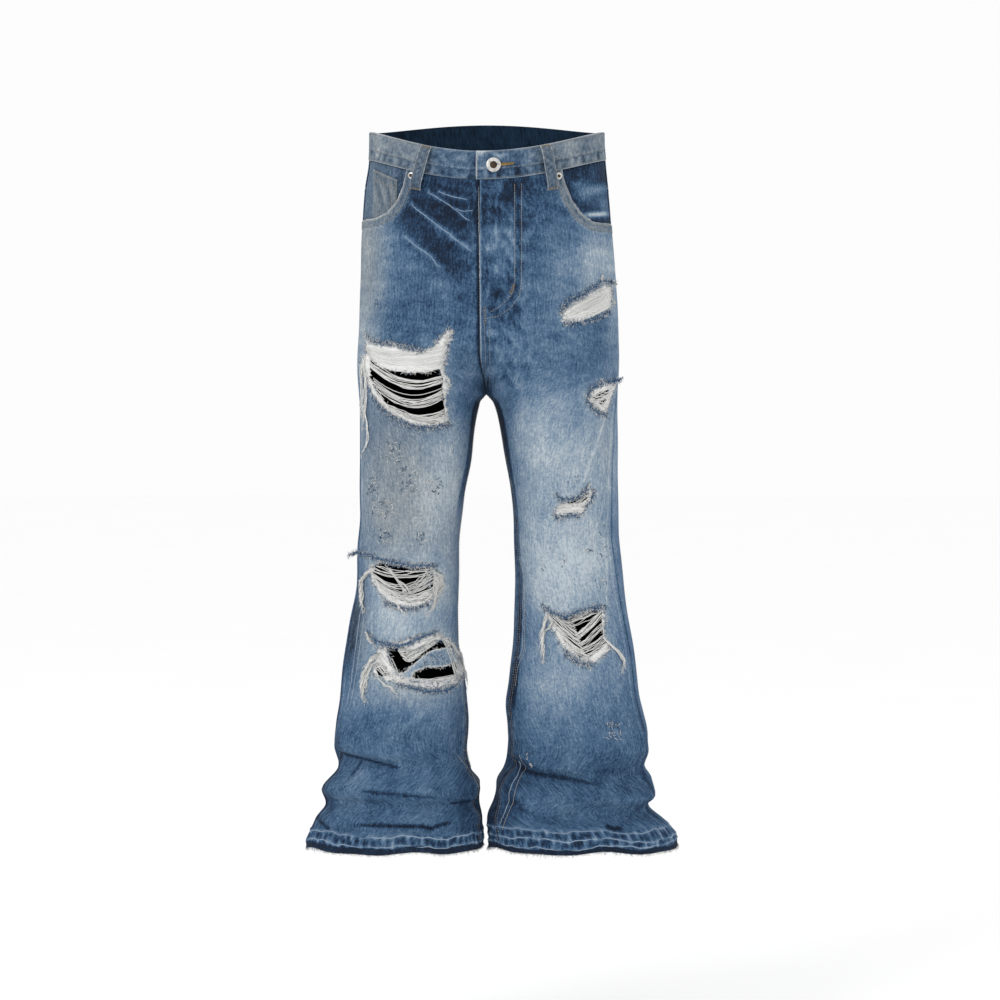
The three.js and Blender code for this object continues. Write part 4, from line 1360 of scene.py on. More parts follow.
        # The cords are toned darker low and paler high: painted shade below and painted light on top.
        for layer in range(3):
            shift = (layer - 1) * curl.radius * 0.8
            z = walk[:, 1] + shift + rng.normal(0, 0.45, len(walk))
            x = walk[:, 0] + rng.normal(0, 0.35, len(walk))
            path = Form.on_front(x, z, 0.7 + 0.5 * curl.radius * (layer == 1), CURL_LEAVES)
            radius = curl.radius * (0.22 + 0.42 * rng.random(len(walk))) * taper
            self.rolls[side].add(path[None], radius[None], 0.3 + 0.2 * layer, 1.0)
        count = int(len(walk) * curl.fuzz * 1.55)
        at = rng.integers(0, len(walk), count)
        tilt = rng.choice([-1.0, 1.0], count, p=[0.62, 0.38])
        turn = tilt * (np.pi / 2 + rng.normal(0, 0.45, count))
        length = np.abs(rng.normal(4.2, 1.6, count)) + 1.2
        x = walk[at, 0] + rng.normal(0, 0.6, count)
        z = walk[at, 1] - tilt * rng.uniform(0, 2.4, count)
        spin, out = rng.normal(0, 0.8, count), rng.uniform(0.8, 2.6, count)
        paths = self.curl_fibre(x, z, length, turn, spin, out, CURL_LEAVES)
        pale = rng.random(count) < 0.3
        tone = np.where(pale, rng.uniform(0.75, 1.0, count), rng.uniform(0.25, 0.9, count))
        radius = 0.33 * np.array([1.0, 1.0, 0.85, 0.35])
        self.fuzz[side].add(paths, radius, tone, (~pale).astype(float))

    def hang(self, side: Side, tassel: Tassel) -> None:
        """Hang a twisted bundle of loose threads."""
        rng = self.rng
        walk = Plane.walk(tassel.line, 2.4)
        size = 16
        t = np.linspace(0, 1, size)
        line = np.stack([np.interp(t, np.linspace(0, 1, len(walk)), walk[:, k]) for k in range(2)], -1)
        for _ in range(int(tassel.strands * 1.4)):
            phase = rng.uniform(0, 2 * np.pi)
            turns = rng.uniform(2.0, 3.6)
            wide = tassel.spread * rng.uniform(0.35, 1.25)
            wide = wide * (0.55 + 0.45 * np.sin(np.pi * t * turns + phase) ** 2)
            stop = rng.uniform(0.75, 1.04)
            along = np.clip(t * stop, 0, 1)
            x = np.interp(along, t, line[:, 0]) + wide * np.cos(2 * np.pi * turns * t + phase)
            x = x + np.cumsum(rng.normal(0, 0.3, size)) * (t > 0.1)
            z = np.interp(along, t, line[:, 1]) + 0.6 * wide * np.sin(5 * t + phase)
            out = tassel.out * smooth(t / 0.25) + wide * np.sin(2 * np.pi * turns * t + phase) * 0.8
            path = Form.on_front(x, z, np.maximum(out, 0.35))
            radius = 0.4 * np.where(t > 0.93, 0.5, 1.0) * rng.uniform(0.7, 1.25)
            self.threads[side].add(path[None], radius[None], np.clip(rng.normal(0.95, 0.14), 0.5, 1.0))
        tip = line[-1]
        count = tassel.strands
        turn = -np.pi / 2 + rng.normal(0, 0.9, count)
        x = np.full(count, tip[0]) + rng.normal(0, 1.0, count)
        z = np.full(count, tip[1]) + rng.normal(0, 1.0, count)
        length = rng.uniform(2.0, 6.0, count)
        spin = rng.normal(0, 1.6, count)
        out = rng.uniform(0.5, 2.0, count)
        paths = self.curl_fibre(x, z, length, turn, spin, out)
        paths = paths + np.array([0, -0.6 * tassel.out, 0])
        self.fuzz[side].add(paths, 0.2, rng.uniform(0.85, 1.0, count))

    def sew(self) -> None:
        """Make every rip's threads, fuzz and rolled edges."""
        rng = self.rng
        for rip in RIPS:
            for run in rip.runs:
                paths = run.paths(rng)
                tone = np.clip(run.shade + rng.normal(0, 0.15, run.count), 0.2, 1)
                radius = run.thickness * (0.9 + 0.2 * rng.random((run.count, 1)))
                self.threads[rip.leg].add(paths, np.broadcast_to(radius, paths.shape[:2]), tone)
            for outline in rip.bare:
                self.edge_fibres(rip.leg, outline, 2.1, 0.5, 3.0)
            for outline in rip.holes:
                self.edge_fibres(rip.leg, outline, 0.95, 0.1, 2.4)
            for curl in rip.curls:
                self.roll(rip.leg, curl)
            for tassel in rip.tassels:
                self.hang(rip.leg, tassel)
        for side, marks in SCUFFS.items():
            for mark in marks:
                self.scuff(side, mark)

    def scuff(self, side: Side, mark: Scuff) -> None:
        """Scatter a few curled broken threads over a worn place."""
        rng = self.rng
        x = mark.x + rng.uniform(-1, 1, mark.count) * mark.wide
        z = mark.z + rng.uniform(-1, 1, mark.count) * mark.high
        turn = np.where(rng.random(mark.count) < 0.5, 0.2, 1.4) + rng.normal(0, 0.7, mark.count)
        paths = self.curl_fibre(
            x, z, rng.uniform(3.0, 6.5, mark.count), turn, rng.normal(0, 2.4, mark.count),
            rng.uniform(0.3, 1.1, mark.count),
        )
        is_blue = rng.random(mark.count) < 0.45
        tone = np.where(is_blue, rng.uniform(0.3, 0.6, mark.count), rng.uniform(0.8, 1.0, mark.count))
        self.fuzz[side].add(paths, 0.34, tone, is_blue.astype(float))


# ------------------------------------------------------------------ finishes
def srgb(red: float, green: float, blue: float) -> tuple[float, float, float, float]:
    """Return a colour given as 0 to 255 display values in the shader's own scale."""
    def linear(c: float) -> float:
        """Return one channel in the shader's scale."""
        c = c / 255
        return c / 12.92 if c <= 0.04045 else ((c + 0.055) / 1.055) ** 2.4

    return linear(red), linear(green), linear(blue), 1.0


STUDIO_GAIN = 0.86


def dye(red: float, green: float, blue: float) -> tuple[float, float, float, float]:
    """Return a cloth colour, held back for the studio's light."""
    r, g, b, _ = srgb(red, green, blue)
    return r * STUDIO_GAIN, g * STUDIO_GAIN, b * STUDIO_GAIN, 1.0


class Sig:
    """A shader socket that can be used in a sum."""

    def __init__(self, recipe: "Recipe", socket: bpy.types.NodeSocket) -> None:
        """Keep the socket and the recipe that it belongs to."""
        self.recipe = recipe
        self.socket = socket

    def _join(self, operation: str, *values: "Sig | float") -> "Sig":
        """Add a Math node and return its result."""
        node = self.recipe.node("ShaderNodeMath", {"operation": operation}, dict(enumerate(values)))
        return Sig(self.recipe, node.outputs[0])

    def __add__(self, other: "Sig | float") -> "Sig":
        """Return the sum."""
        return self._join("ADD", self, other)

    __radd__ = __add__

    def __mul__(self, other: "Sig | float") -> "Sig":
        """Return the product."""
        return self._join("MULTIPLY", self, other)

    __rmul__ = __mul__

    def __sub__(self, other: "Sig | float") -> "Sig":
        """Return the difference."""
        return self._join("SUBTRACT", self, other)

    def __rsub__(self, other: "Sig | float") -> "Sig":
        """Return the difference the other way round."""
        return self._join("SUBTRACT", other, self)

    def clamp(self) -> "Sig":
        """Return the value held between 0 and 1."""
        return self._join("MINIMUM", self._join("MAXIMUM", self, 0.0), 1.0)


class Recipe:
    """Builds one material from nodes."""

    def __init__(self, name: str) -> None:
        """Start an empty material of this name."""
        self.material = bpy.data.materials.new(name)
        self.material.use_nodes = True
        self.tree = self.material.node_tree
        self.tree.nodes.clear()

    def node(self, kind: str, settings: dict, inputs: dict) -> bpy.types.Node:
        """Add a node.

        Args:
            kind: the node's type.
            settings: values set on the node first; "stops" fills a ramp.
            inputs: a value or a Sig for each named or numbered socket.

        Returns:
            The node.
        """
        node = self.tree.nodes.new(kind)
        for key, value in settings.items():
            if key == "stops":
                elements = node.color_ramp.elements
                while len(elements) < len(value):
                    elements.new(0.5)
                for element, (place, colour) in zip(elements, value):
                    element.position = place
                    element.color = colour
            else:
                setattr(node, key, value)
        for key, value in inputs.items():
            if isinstance(value, Sig):
                self.tree.links.new(value.socket, node.inputs[key])
            else:
                node.inputs[key].default_value = value
        return node

    def painted(self, name: str) -> Sig:
        """Return a painted attribute."""
        node = self.node("ShaderNodeAttribute", {"attribute_name": name}, {})
        return Sig(self, node.outputs["Fac"])

    def weave(self) -> Sig:
        """Return the cloth's own two directions, in metres."""
        return Sig(self, self.node("ShaderNodeUVMap", {"uv_map": "weave"}, {}).outputs["UV"])

    def place(self) -> Sig:
        """Return the point's place on the object, in metres."""
        return Sig(self, self.node("ShaderNodeTexCoord", {}, {}).outputs["Object"])

    def turned(self, vector: Sig, angle: float) -> Sig:
        """Return the vector turned in its own plane."""
        inputs = {"Vector": vector, "Angle": angle}
        node = self.node("ShaderNodeVectorRotate", {"rotation_type": "Z_AXIS"}, inputs)
        return Sig(self, node.outputs[0])

    def noise(
        self, vector: Sig, stretch: tuple[float, float, float], detail: float = 2.0, rough: float = 0.5
    ) -> Sig:
        """Return a noise, minus its middle value, whose scale differs along each direction."""
        scaled = self.node("ShaderNodeVectorMath", {"operation": "MULTIPLY"}, {0: vector, 1: stretch})
        inputs = {"Vector": Sig(self, scaled.outputs[0]), "Scale": 1.0, "Detail": detail, "Roughness": rough}
        return Sig(self, self.node("ShaderNodeTexNoise", {}, inputs).outputs["Fac"]) - 0.5

    def ramp(self, value: Sig, stops: list[tuple[float, tuple]]) -> Sig:
        """Return the colour at this value of a ramp."""
        return Sig(self, self.node("ShaderNodeValToRGB", {"stops": stops}, {0: value}).outputs["Color"])

    def blend(self, share: Sig | float, first: Sig | tuple, second: Sig | tuple) -> Sig:
        """Return a mix of two colours."""
        node = self.node("ShaderNodeMix", {"data_type": "RGBA"}, {0: share, 6: first, 7: second})
        return Sig(self, node.outputs[2])

    def finish(
        self, colour: Sig | tuple, fixed: dict, changing: dict, height: Sig | None, deep: float = 0.4
    ) -> None:
        """Close the material with one shader.

        Args:
            colour: the base colour.
            fixed: values set on the shader's sockets.
            changing: links to the shader's sockets.
            height: what raises the surface, or None.
            deep: how deep the raised surface looks, in millimetres.
        """
        shader = self.node("ShaderNodeBsdfPrincipled", {}, {"Base Color": colour, **fixed, **changing})
        if height is not None:
            inputs = {"Strength": 0.6, "Distance": deep * MM, "Height": height}
            bumped = self.node("ShaderNodeBump", {}, inputs)
            self.tree.links.new(bumped.outputs["Normal"], shader.inputs["Normal"])
        out = self.node("ShaderNodeOutputMaterial", {}, {})
        self.tree.links.new(shader.outputs["BSDF"], out.inputs["Surface"])


INDIGO = [
    (0.0, dye(15, 29, 48)), (0.14, dye(30, 54, 82)), (0.3, dye(56, 86, 117)), (0.45, dye(82, 110, 139)),
    (0.6, dye(110, 133, 157)), (0.78, dye(144, 161, 176)), (1.0, dye(186, 196, 203)),
]
BARE_WEFT = [(0.25, dye(188, 190, 190)), (0.5, dye(230, 230, 228)), (0.75, dye(246, 246, 243))]
BLUE_YARN = [(0.0, dye(24, 46, 74)), (0.5, dye(66, 98, 132)), (1.0, dye(140, 162, 184))]
DUSTY = [
    (0.0, dye(28, 36, 48)), (0.3, dye(74, 90, 106)), (0.6, dye(122, 132, 140)),
    (0.8, dye(150, 156, 160)), (1.0, dye(188, 191, 192)),
]


@dataclass(frozen=True)
class Denim:
    """Washed denim: indigo warp over white weft, worn by the painted fade, which also holds painted shade."""

    name: str
    cloud: float = 0.40
    slub: float = 0.85

    def make(self) -> bpy.types.Material:
        """Build and return the material."""
        r = Recipe(self.name)
        weave, place = r.weave(), r.place()
        slub = r.noise(weave, (430, 60, 1), 2.0, 0.6)
        curls = r.noise(weave, (300, 230, 1), 3.0, 0.7)
        first = r.noise(r.turned(weave, 0.65), (250, 110, 1), 1.0, 0.6)
        second = r.noise(r.turned(weave, -0.55), (230, 120, 1), 1.0, 0.6)
        worms = (1 - first * first * 260).clamp() + (1 - second * second * 260).clamp()
        fine = r.noise(weave, (1500, 620, 1), 1.0)
        cross = r.noise(weave, (60, 900, 1), 1.0)
        cloud = r.noise(place, (16, 16, 11), 4.0, 0.6)
        blotch = r.noise(place, (46, 46, 30), 3.0, 0.6)
        grain = slub * (self.slub * 0.62) + curls * 0.55 + fine * 0.22 + cross * 0.12 + worms * 0.07 - 0.05
        fade = r.painted("fade") + cloud * self.cloud + blotch * 0.28 + grain
        colour = r.ramp(fade, INDIGO)
        dusty = r.ramp(fade, DUSTY)
        colour = r.blend((r.painted("grime") * 1.05 + cloud * 0.5).clamp(), colour, dusty)
        weft = r.noise(weave, (70, 1100, 1), 2.0, 0.6)
        bare = r.ramp(weft + 0.5, BARE_WEFT)
        share = (r.painted("white") * 1.5 + fine * 0.8 + weft * 0.6 - 0.25).clamp()
        colour = r.blend(share, colour, bare)
        height = slub * 0.6 + fine * 0.8 + cross * 0.5 + curls * 0.5 + weft * share * 1.2
        r.finish(colour, {"Roughness": 0.88, "Specular IOR Level": 0.22}, {}, height, 0.7)
        return r.material


@dataclass(frozen=True)
class ShadedInside:
    """The inside of the cloth, painted near black and dark navy, far darker than denim's pale inside: painted
    shade.
    """

    name: str
    dark: tuple = (5, 8, 12)
    light: tuple = (12, 19, 28)

    def make(self) -> bpy.types.Material:
        """Build and return the material."""
        r = Recipe(self.name)
        grain = r.noise(r.weave(), (420, 60, 1), 3.0, 0.6)
        cloud = r.noise(r.place(), (40, 40, 40), 3.0)
        shade = grain * 1.1 + cloud * 0.8 + 0.5
        colour = r.ramp(shade, [(0.2, dye(*self.dark)), (0.8, dye(*self.light))])
        r.finish(colour, {"Roughness": 0.95, "Specular IOR Level": 0.1}, {}, grain, 0.4)
        return r.material


@dataclass(frozen=True)
class Yarn:
    """Loose or sewn thread, between a shaded and a bright colour, some of it still blue."""

    name: str
    shaded: tuple = (150, 150, 149)
    bright: tuple = (238, 238, 235)

    def make(self) -> bpy.types.Material:
        """Build and return the material."""
        r = Recipe(self.name)
        place = r.place()
        twist = r.noise(place, (700, 700, 700), 2.0)
        tone = r.painted("tone") + twist * 0.35
        plain = r.ramp(tone, [(0.2, dye(*self.shaded)), (1.0, dye(*self.bright))])
        colour = r.blend(r.painted("blue"), plain, r.ramp(tone, BLUE_YARN))
        r.finish(colour, {"Roughness": 0.85, "Specular IOR Level": 0.2}, {}, twist, 0.2)
        return r.material


@dataclass(frozen=True)
class Metal:
    """Tumbled button metal with small dents and tarnish."""

    name: str
    bright: tuple
    dull: tuple
    rough: float

    def make(self) -> bpy.types.Material:
        """Build and return the material."""
        r = Recipe(self.name)
        place = r.place()
        dents = r.noise(place, (520, 520, 520), 3.0, 0.6)
        tarnish = r.noise(place, (160, 160, 160), 4.0, 0.7)
        colour = r.ramp(tarnish + 0.5, [(0.3, srgb(*self.dull)), (0.6, srgb(*self.bright))])
        rough = (tarnish * 0.5 + self.rough).clamp()
        r.finish(colour, {"Metallic": 0.75}, {"Roughness": rough}, dents, 0.12)
        return r.material


@dataclass(frozen=True)
class Ground:
    """The pale floor."""

    name: str = "studio_floor"

    def make(self) -> bpy.types.Material:
        """Build and return the material."""
        r = Recipe(self.name)
        speck = r.noise(r.place(), (3, 3, 3), 2.0)
        colour = r.ramp(speck + 0.5, [(0.0, srgb(253, 253, 253)), (1.0, srgb(255, 255, 255))])
        r.finish(colour, {"Roughness": 0.9}, {}, None)
        return r.material


class Finishes:
    """Every material of the garment, made once."""

    def __init__(self) -> None:
        """Build the materials."""
        self.front = Denim("washed_denim_front").make()
        self.back = Denim("washed_denim_back").make()
        self.band = Denim("washed_denim_band", 0.5, 0.7).make()
        self.pocket = Denim("washed_denim_pocket", 0.5, 0.8).make()
        self.loop = Denim("washed_denim_loop", 0.4, 0.6).make()
        # The insides are painted shade: near black and dark navy where denim's own inside is pale.
        self.inside = ShadedInside("shaded_dark_inside").make()
        self.band_inside = ShadedInside("shaded_navy_band_inside", (14, 25, 37), (38, 62, 86)).make()
        self.thread = Yarn("white_weft_thread").make()
        self.topstitch = Yarn("tan_topstitch", (118, 108, 94), (212, 204, 188)).make()
        self.gold = Yarn("gold_bartack", (138, 104, 48), (214, 180, 104)).make()
        self.steel = Metal("button_steel_finish", (214, 213, 210), (150, 146, 140), 0.36).make()
        self.hollow = Metal("button_hollow_finish", (74, 58, 46), (34, 28, 24), 0.5).make()


# ------------------------------------------------------------------ folds, wear and painted crease shade drawn on the front
WHISKERS = (
    ((-80, -60), (-76, -66), (-54, -79), (-42, -88), (-28, -100), (-18, -105)),
    ((-42, -87), (-30, -91), (-17, -89)),
    ((-104, -76), (-92, -88), (-76, -100), (-60, -113), (-48, -121), (-42, -131)),
    ((-50, -121), (-34, -133), (-18, -145)),
    ((-113, -119), (-95, -135), (-72, -151), (-67, -160), (-56, -168)),
    ((-67, -63), (-46, -71), (-22, -76)),
)
Relief.creases = [Crease(line, 3.0, 1.2, 0.26, 3.4) for line in WHISKERS] + [
    # stacked creases of the right lower leg, their troughs darkened with painted shade
    Crease(((-202, -821), (-168, -825), (-131, -833), (-114, -837)), 3.4, -3.4, -0.34, 1.8),
    Crease(((-199, -816), (-165, -817), (-127, -824)), 5.0, 2.6, 0.06, 5.0),
    Crease(((-167, -827), (-175, -838), (-185, -851)), 3.2, -3.2, -0.30, 2.4),
    Crease(((-79, -758), (-100, -770), (-119, -785)), 6.0, 2.4, 0.10, 4.0),
    Crease(((-111, -786), (-107, -810), (-105, -834)), 8.0, -2.8, -0.10, 7.0),
    Crease(((-174, -866), (-117, -871), (-96, -873), (-63, -876)), 3.0, -2.6, -0.26, 1.8),
    Crease(((-168, -859), (-111, -863), (-58, -868)), 5.0, 1.8, 0.05, 5.0),
    Crease(((-51, -886), (-36, -887), (-20, -886)), 2.6, -2.4, -0.28, 1.6),
    Crease(((-184, -913), (-117, -914), (-88, -915), (-74, -918), (-63, -913),
        (-43, -909)), 4.2, -4.4, -0.40, 2.6),
    Crease(((-233, -909), (-220, -918), (-208, -929)), 3.4, -2.6, -0.22, 2.2),
    Crease(((-76, -803), (-63, -844), (-52, -872)), 8.0, -2.2, -0.06, 8.0),
    # and of the left, troughs darkened with painted shade too
    Crease(((32, -824), (47, -841), (63, -845), (109, -850), (162, -861)), 3.4, -4.0, -0.40, 1.9),
    Crease(((37, -814), (66, -836), (109, -840), (157, -848)), 6.0, 3.0, 0.06, 5.0),
    Crease(((160, -859), (176, -853), (190, -847)), 4.0, 2.2, 0.10, 2.4),
    Crease(((160, -913), (170, -920), (182, -918)), 3.4, -4.4, -0.50, 3.2),
    Crease(((196, -837), (203, -851), (211, -863)), 3.0, 1.8, 0.12, 1.8),
    Crease(((204, -880), (198, -891), (193, -901)), 3.0, 1.8, 0.10, 1.8),
    Crease(((28, -879), (47, -894), (82, -907), (125, -913)), 6.0, -2.4, -0.10, 5.0),
    Crease(((139, -872), (117, -886), (98, -894)), 7.0, 2.0, 0.03, 5.0),
]
Wash.lines = [
    # pale worn lines and edges
    (((159, -362), (151, -386), (140, -415), (130, -449)), 1.8, 0.20),
    (((157, -528), (161, -557), (161, -614)), 1.6, 0.22),
    (((-155, -616), (-155, -638), (-154, -665)), 1.4, 0.18),
    (((-48, -404), (-49, -415)), 1.0, 0.4),
    # the long hip folds, pale where worn, the dark one painted shade
    (((-22, -54), (-19, -71), (-14, -95)), 3.2, -0.12),
    (((18, -58), (10, -95), (15, -137)), 1.8, 0.14),
    (((24, -118), (34, -129), (39, -137)), 3.0, 0.16),
    (((129, -54), (148, -61), (159, -66)), 2.6, 0.24),
    # beside the fly's two rows
    (((42, -55), (42, -187), (37, -201), (28, -213), (10, -226)), 2.6, -0.12),
    (((51, -76), (51, -184), (48, -204)), 2.2, 0.07),
    (((33, -83), (33, -158)), 2.0, 0.06),
]
# Back creases: line, half width, depth, and a colour change (painted shade in troughs, wear on ridges) with
# its half width.
BACK_LINES = (
    # under the seat
    (((22, -322), (66, -334), (112, -328)), 6.0, -1.8, -0.10, 5.0),
    (((30, -338), (84, -352), (140, -344)), 6.5, 1.6, 0.08, 5.0),
    (((60, -368), (110, -376), (158, -366)), 6.0, -1.4, -0.06, 5.0),
    # behind the knee
    (((46, -560), (90, -574), (150, -564)), 5.0, 1.8, 0.14, 4.0),
    (((60, -580), (110, -590), (166, -578)), 5.0, -2.0, -0.10, 4.5),
    (((44, -606), (96, -598), (148, -612)), 5.0, 1.8, 0.15, 3.6),
    (((64, -628), (112, -636), (160, -622)), 5.0, -1.8, -0.08, 4.5),
    (((50, -654), (98, -644), (140, -656)), 5.0, 1.4, 0.10, 4.0),
    # stacked above the hem
    (((56, -782), (110, -796), (180, -786)), 6.0, -2.6, -0.10, 5.0),
    (((70, -806), (130, -814), (200, -800)), 6.5, 2.2, 0.09, 5.0),
    (((50, -838), (120, -848), (186, -834)), 6.0, -2.6, -0.12, 5.0),
    (((80, -864), (140, -858), (206, -872)), 6.0, 2.2, 0.09, 5.0),
    (((60, -896), (130, -904), (190, -892)), 5.0, -2.2, -0.12, 4.5),
)


def mirrored_back_creases() -> list[Crease]:
    """Return the creases of both legs' backs, a little different on each leg."""
    rng = np.random.default_rng(RNG_SEED + 8)
    made = []
    for sign in (-1.0, 1.0):
        for line, half, depth, wear_and_shade, wear_and_shade_half in BACK_LINES:
            drop = rng.uniform(-7, 7)
            moved = tuple(
                (sign * (x + rng.uniform(-6, 6)), z + drop + rng.uniform(-4, 4)) for x, z in line
            )
            made.append(Crease(moved, half, depth, wear_and_shade, wear_and_shade_half))
    return made


Relief.back_creases = mirrored_back_creases()


# ------------------------------------------------------------------ pieces of cloth
@dataclass
class CutPiece:
    """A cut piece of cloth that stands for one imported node."""

    node: str
    slot: str
    points: Array
    outward: Array
    paint: dict[str, Array]
    outer: bpy.types.Material
    inner: bpy.types.Material
    held: str = "hung"
    rests_on: tuple[str, ...] = ("waistband",)
    keep: Array | None = None
    thickness: float = CLOTH
    extras: list[bpy.types.Object] = field(default_factory=list)

    @staticmethod
    def runs(points: Array) -> tuple[Array, Array]:
        """Return how far each point is along its row and down its column, in millimetres."""
        across = np.linalg.norm(np.diff(points, axis=1), axis=-1)
        down = np.linalg.norm(np.diff(points, axis=0), axis=-1)
        first = np.zeros((points.shape[0], 1))
        top = np.zeros((1, points.shape[1]))
        along = np.concatenate([first, np.cumsum(across, 1)], 1)
        return along, np.concatenate([top, np.cumsum(down, 0)], 0)

    def build(self) -> bpy.types.Object:
        """Make the piece, attach it to the root body, hide its node and log its cut."""
        across, down = self.runs(self.points)
        weave = np.stack([across, -down], -1) * MM
        shell = Shell(
            f"{self.node}_cloth", self.points, self.outward, self.paint, weave, self.keep, self.thickness
        )
        piece = shell.build(self.outer, self.inner)
        a = self.points[1:, :-1] - self.points[:-1, :-1]
        b = self.points[:-1, 1:] - self.points[:-1, :-1]
        cells = np.linalg.norm(np.cross(a, b), axis=-1)
        area = float(cells.sum() if self.keep is None else cells[self.keep].sum()) * MM * MM
        width, length = float(across.max()) * MM, float(down.max()) * MM
        width = max(width, 0.0105)
        length = max(length, 0.0105)
        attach(piece, "root")
        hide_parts(self.node)
        list(self.rests_on)
        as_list(self.extras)
        faces = len(piece.data.polygons)
        sizes = (width / MM, length / MM, area)
        LOG.info("%s: %d faces, cut %.0f by %.0f mm, %.4f m2", piece.name, faces, *sizes)
        return piece


def outward_of(points: Array, lifted: Array) -> Array:
    """Return unit directions from points to the same points lifted."""
    return unit(lifted - points)


def plain_paint(fade: Array, grime: Array | float = 0.0, bare: Array | float = 0.0) -> dict[str, Array]:
    """Return the painted values of a piece, each as wide as the fade."""
    full = np.zeros(fade.shape)
    return {"fade": fade, "grime": full + grime, "white": full + bare}


def hem_wave(z: Array, angle: Array, sign: float) -> Array:
    """Return how far the lowest part of a leg hangs down or rides up."""
    low = smooth((-890 - z) / 62)
    return low * (1.8 * np.sin(5 * angle + sign) + 1.1 * np.sin(9 * angle + 2.0 * sign))


def leg_levels(top: float, cell: float, hem_rows: int) -> Array:
    """Return a leg panel's heights as a column: even cells, then the hem's own rows."""
    body = np.arange(top, HEM_ROWS_TOP_Z, -cell)
    hem = np.linspace(body[-1], HEM_Z, hem_rows)[1:]
    return np.concatenate([body, hem])[:, None]


def flap_angle() -> float:
    """Return the angle of the band's buttoned end, on the right half."""
    return float(Form.angle_at(LEGS[Side.RIGHT], np.array(0.0), np.array(FLAP_EDGE_X)))


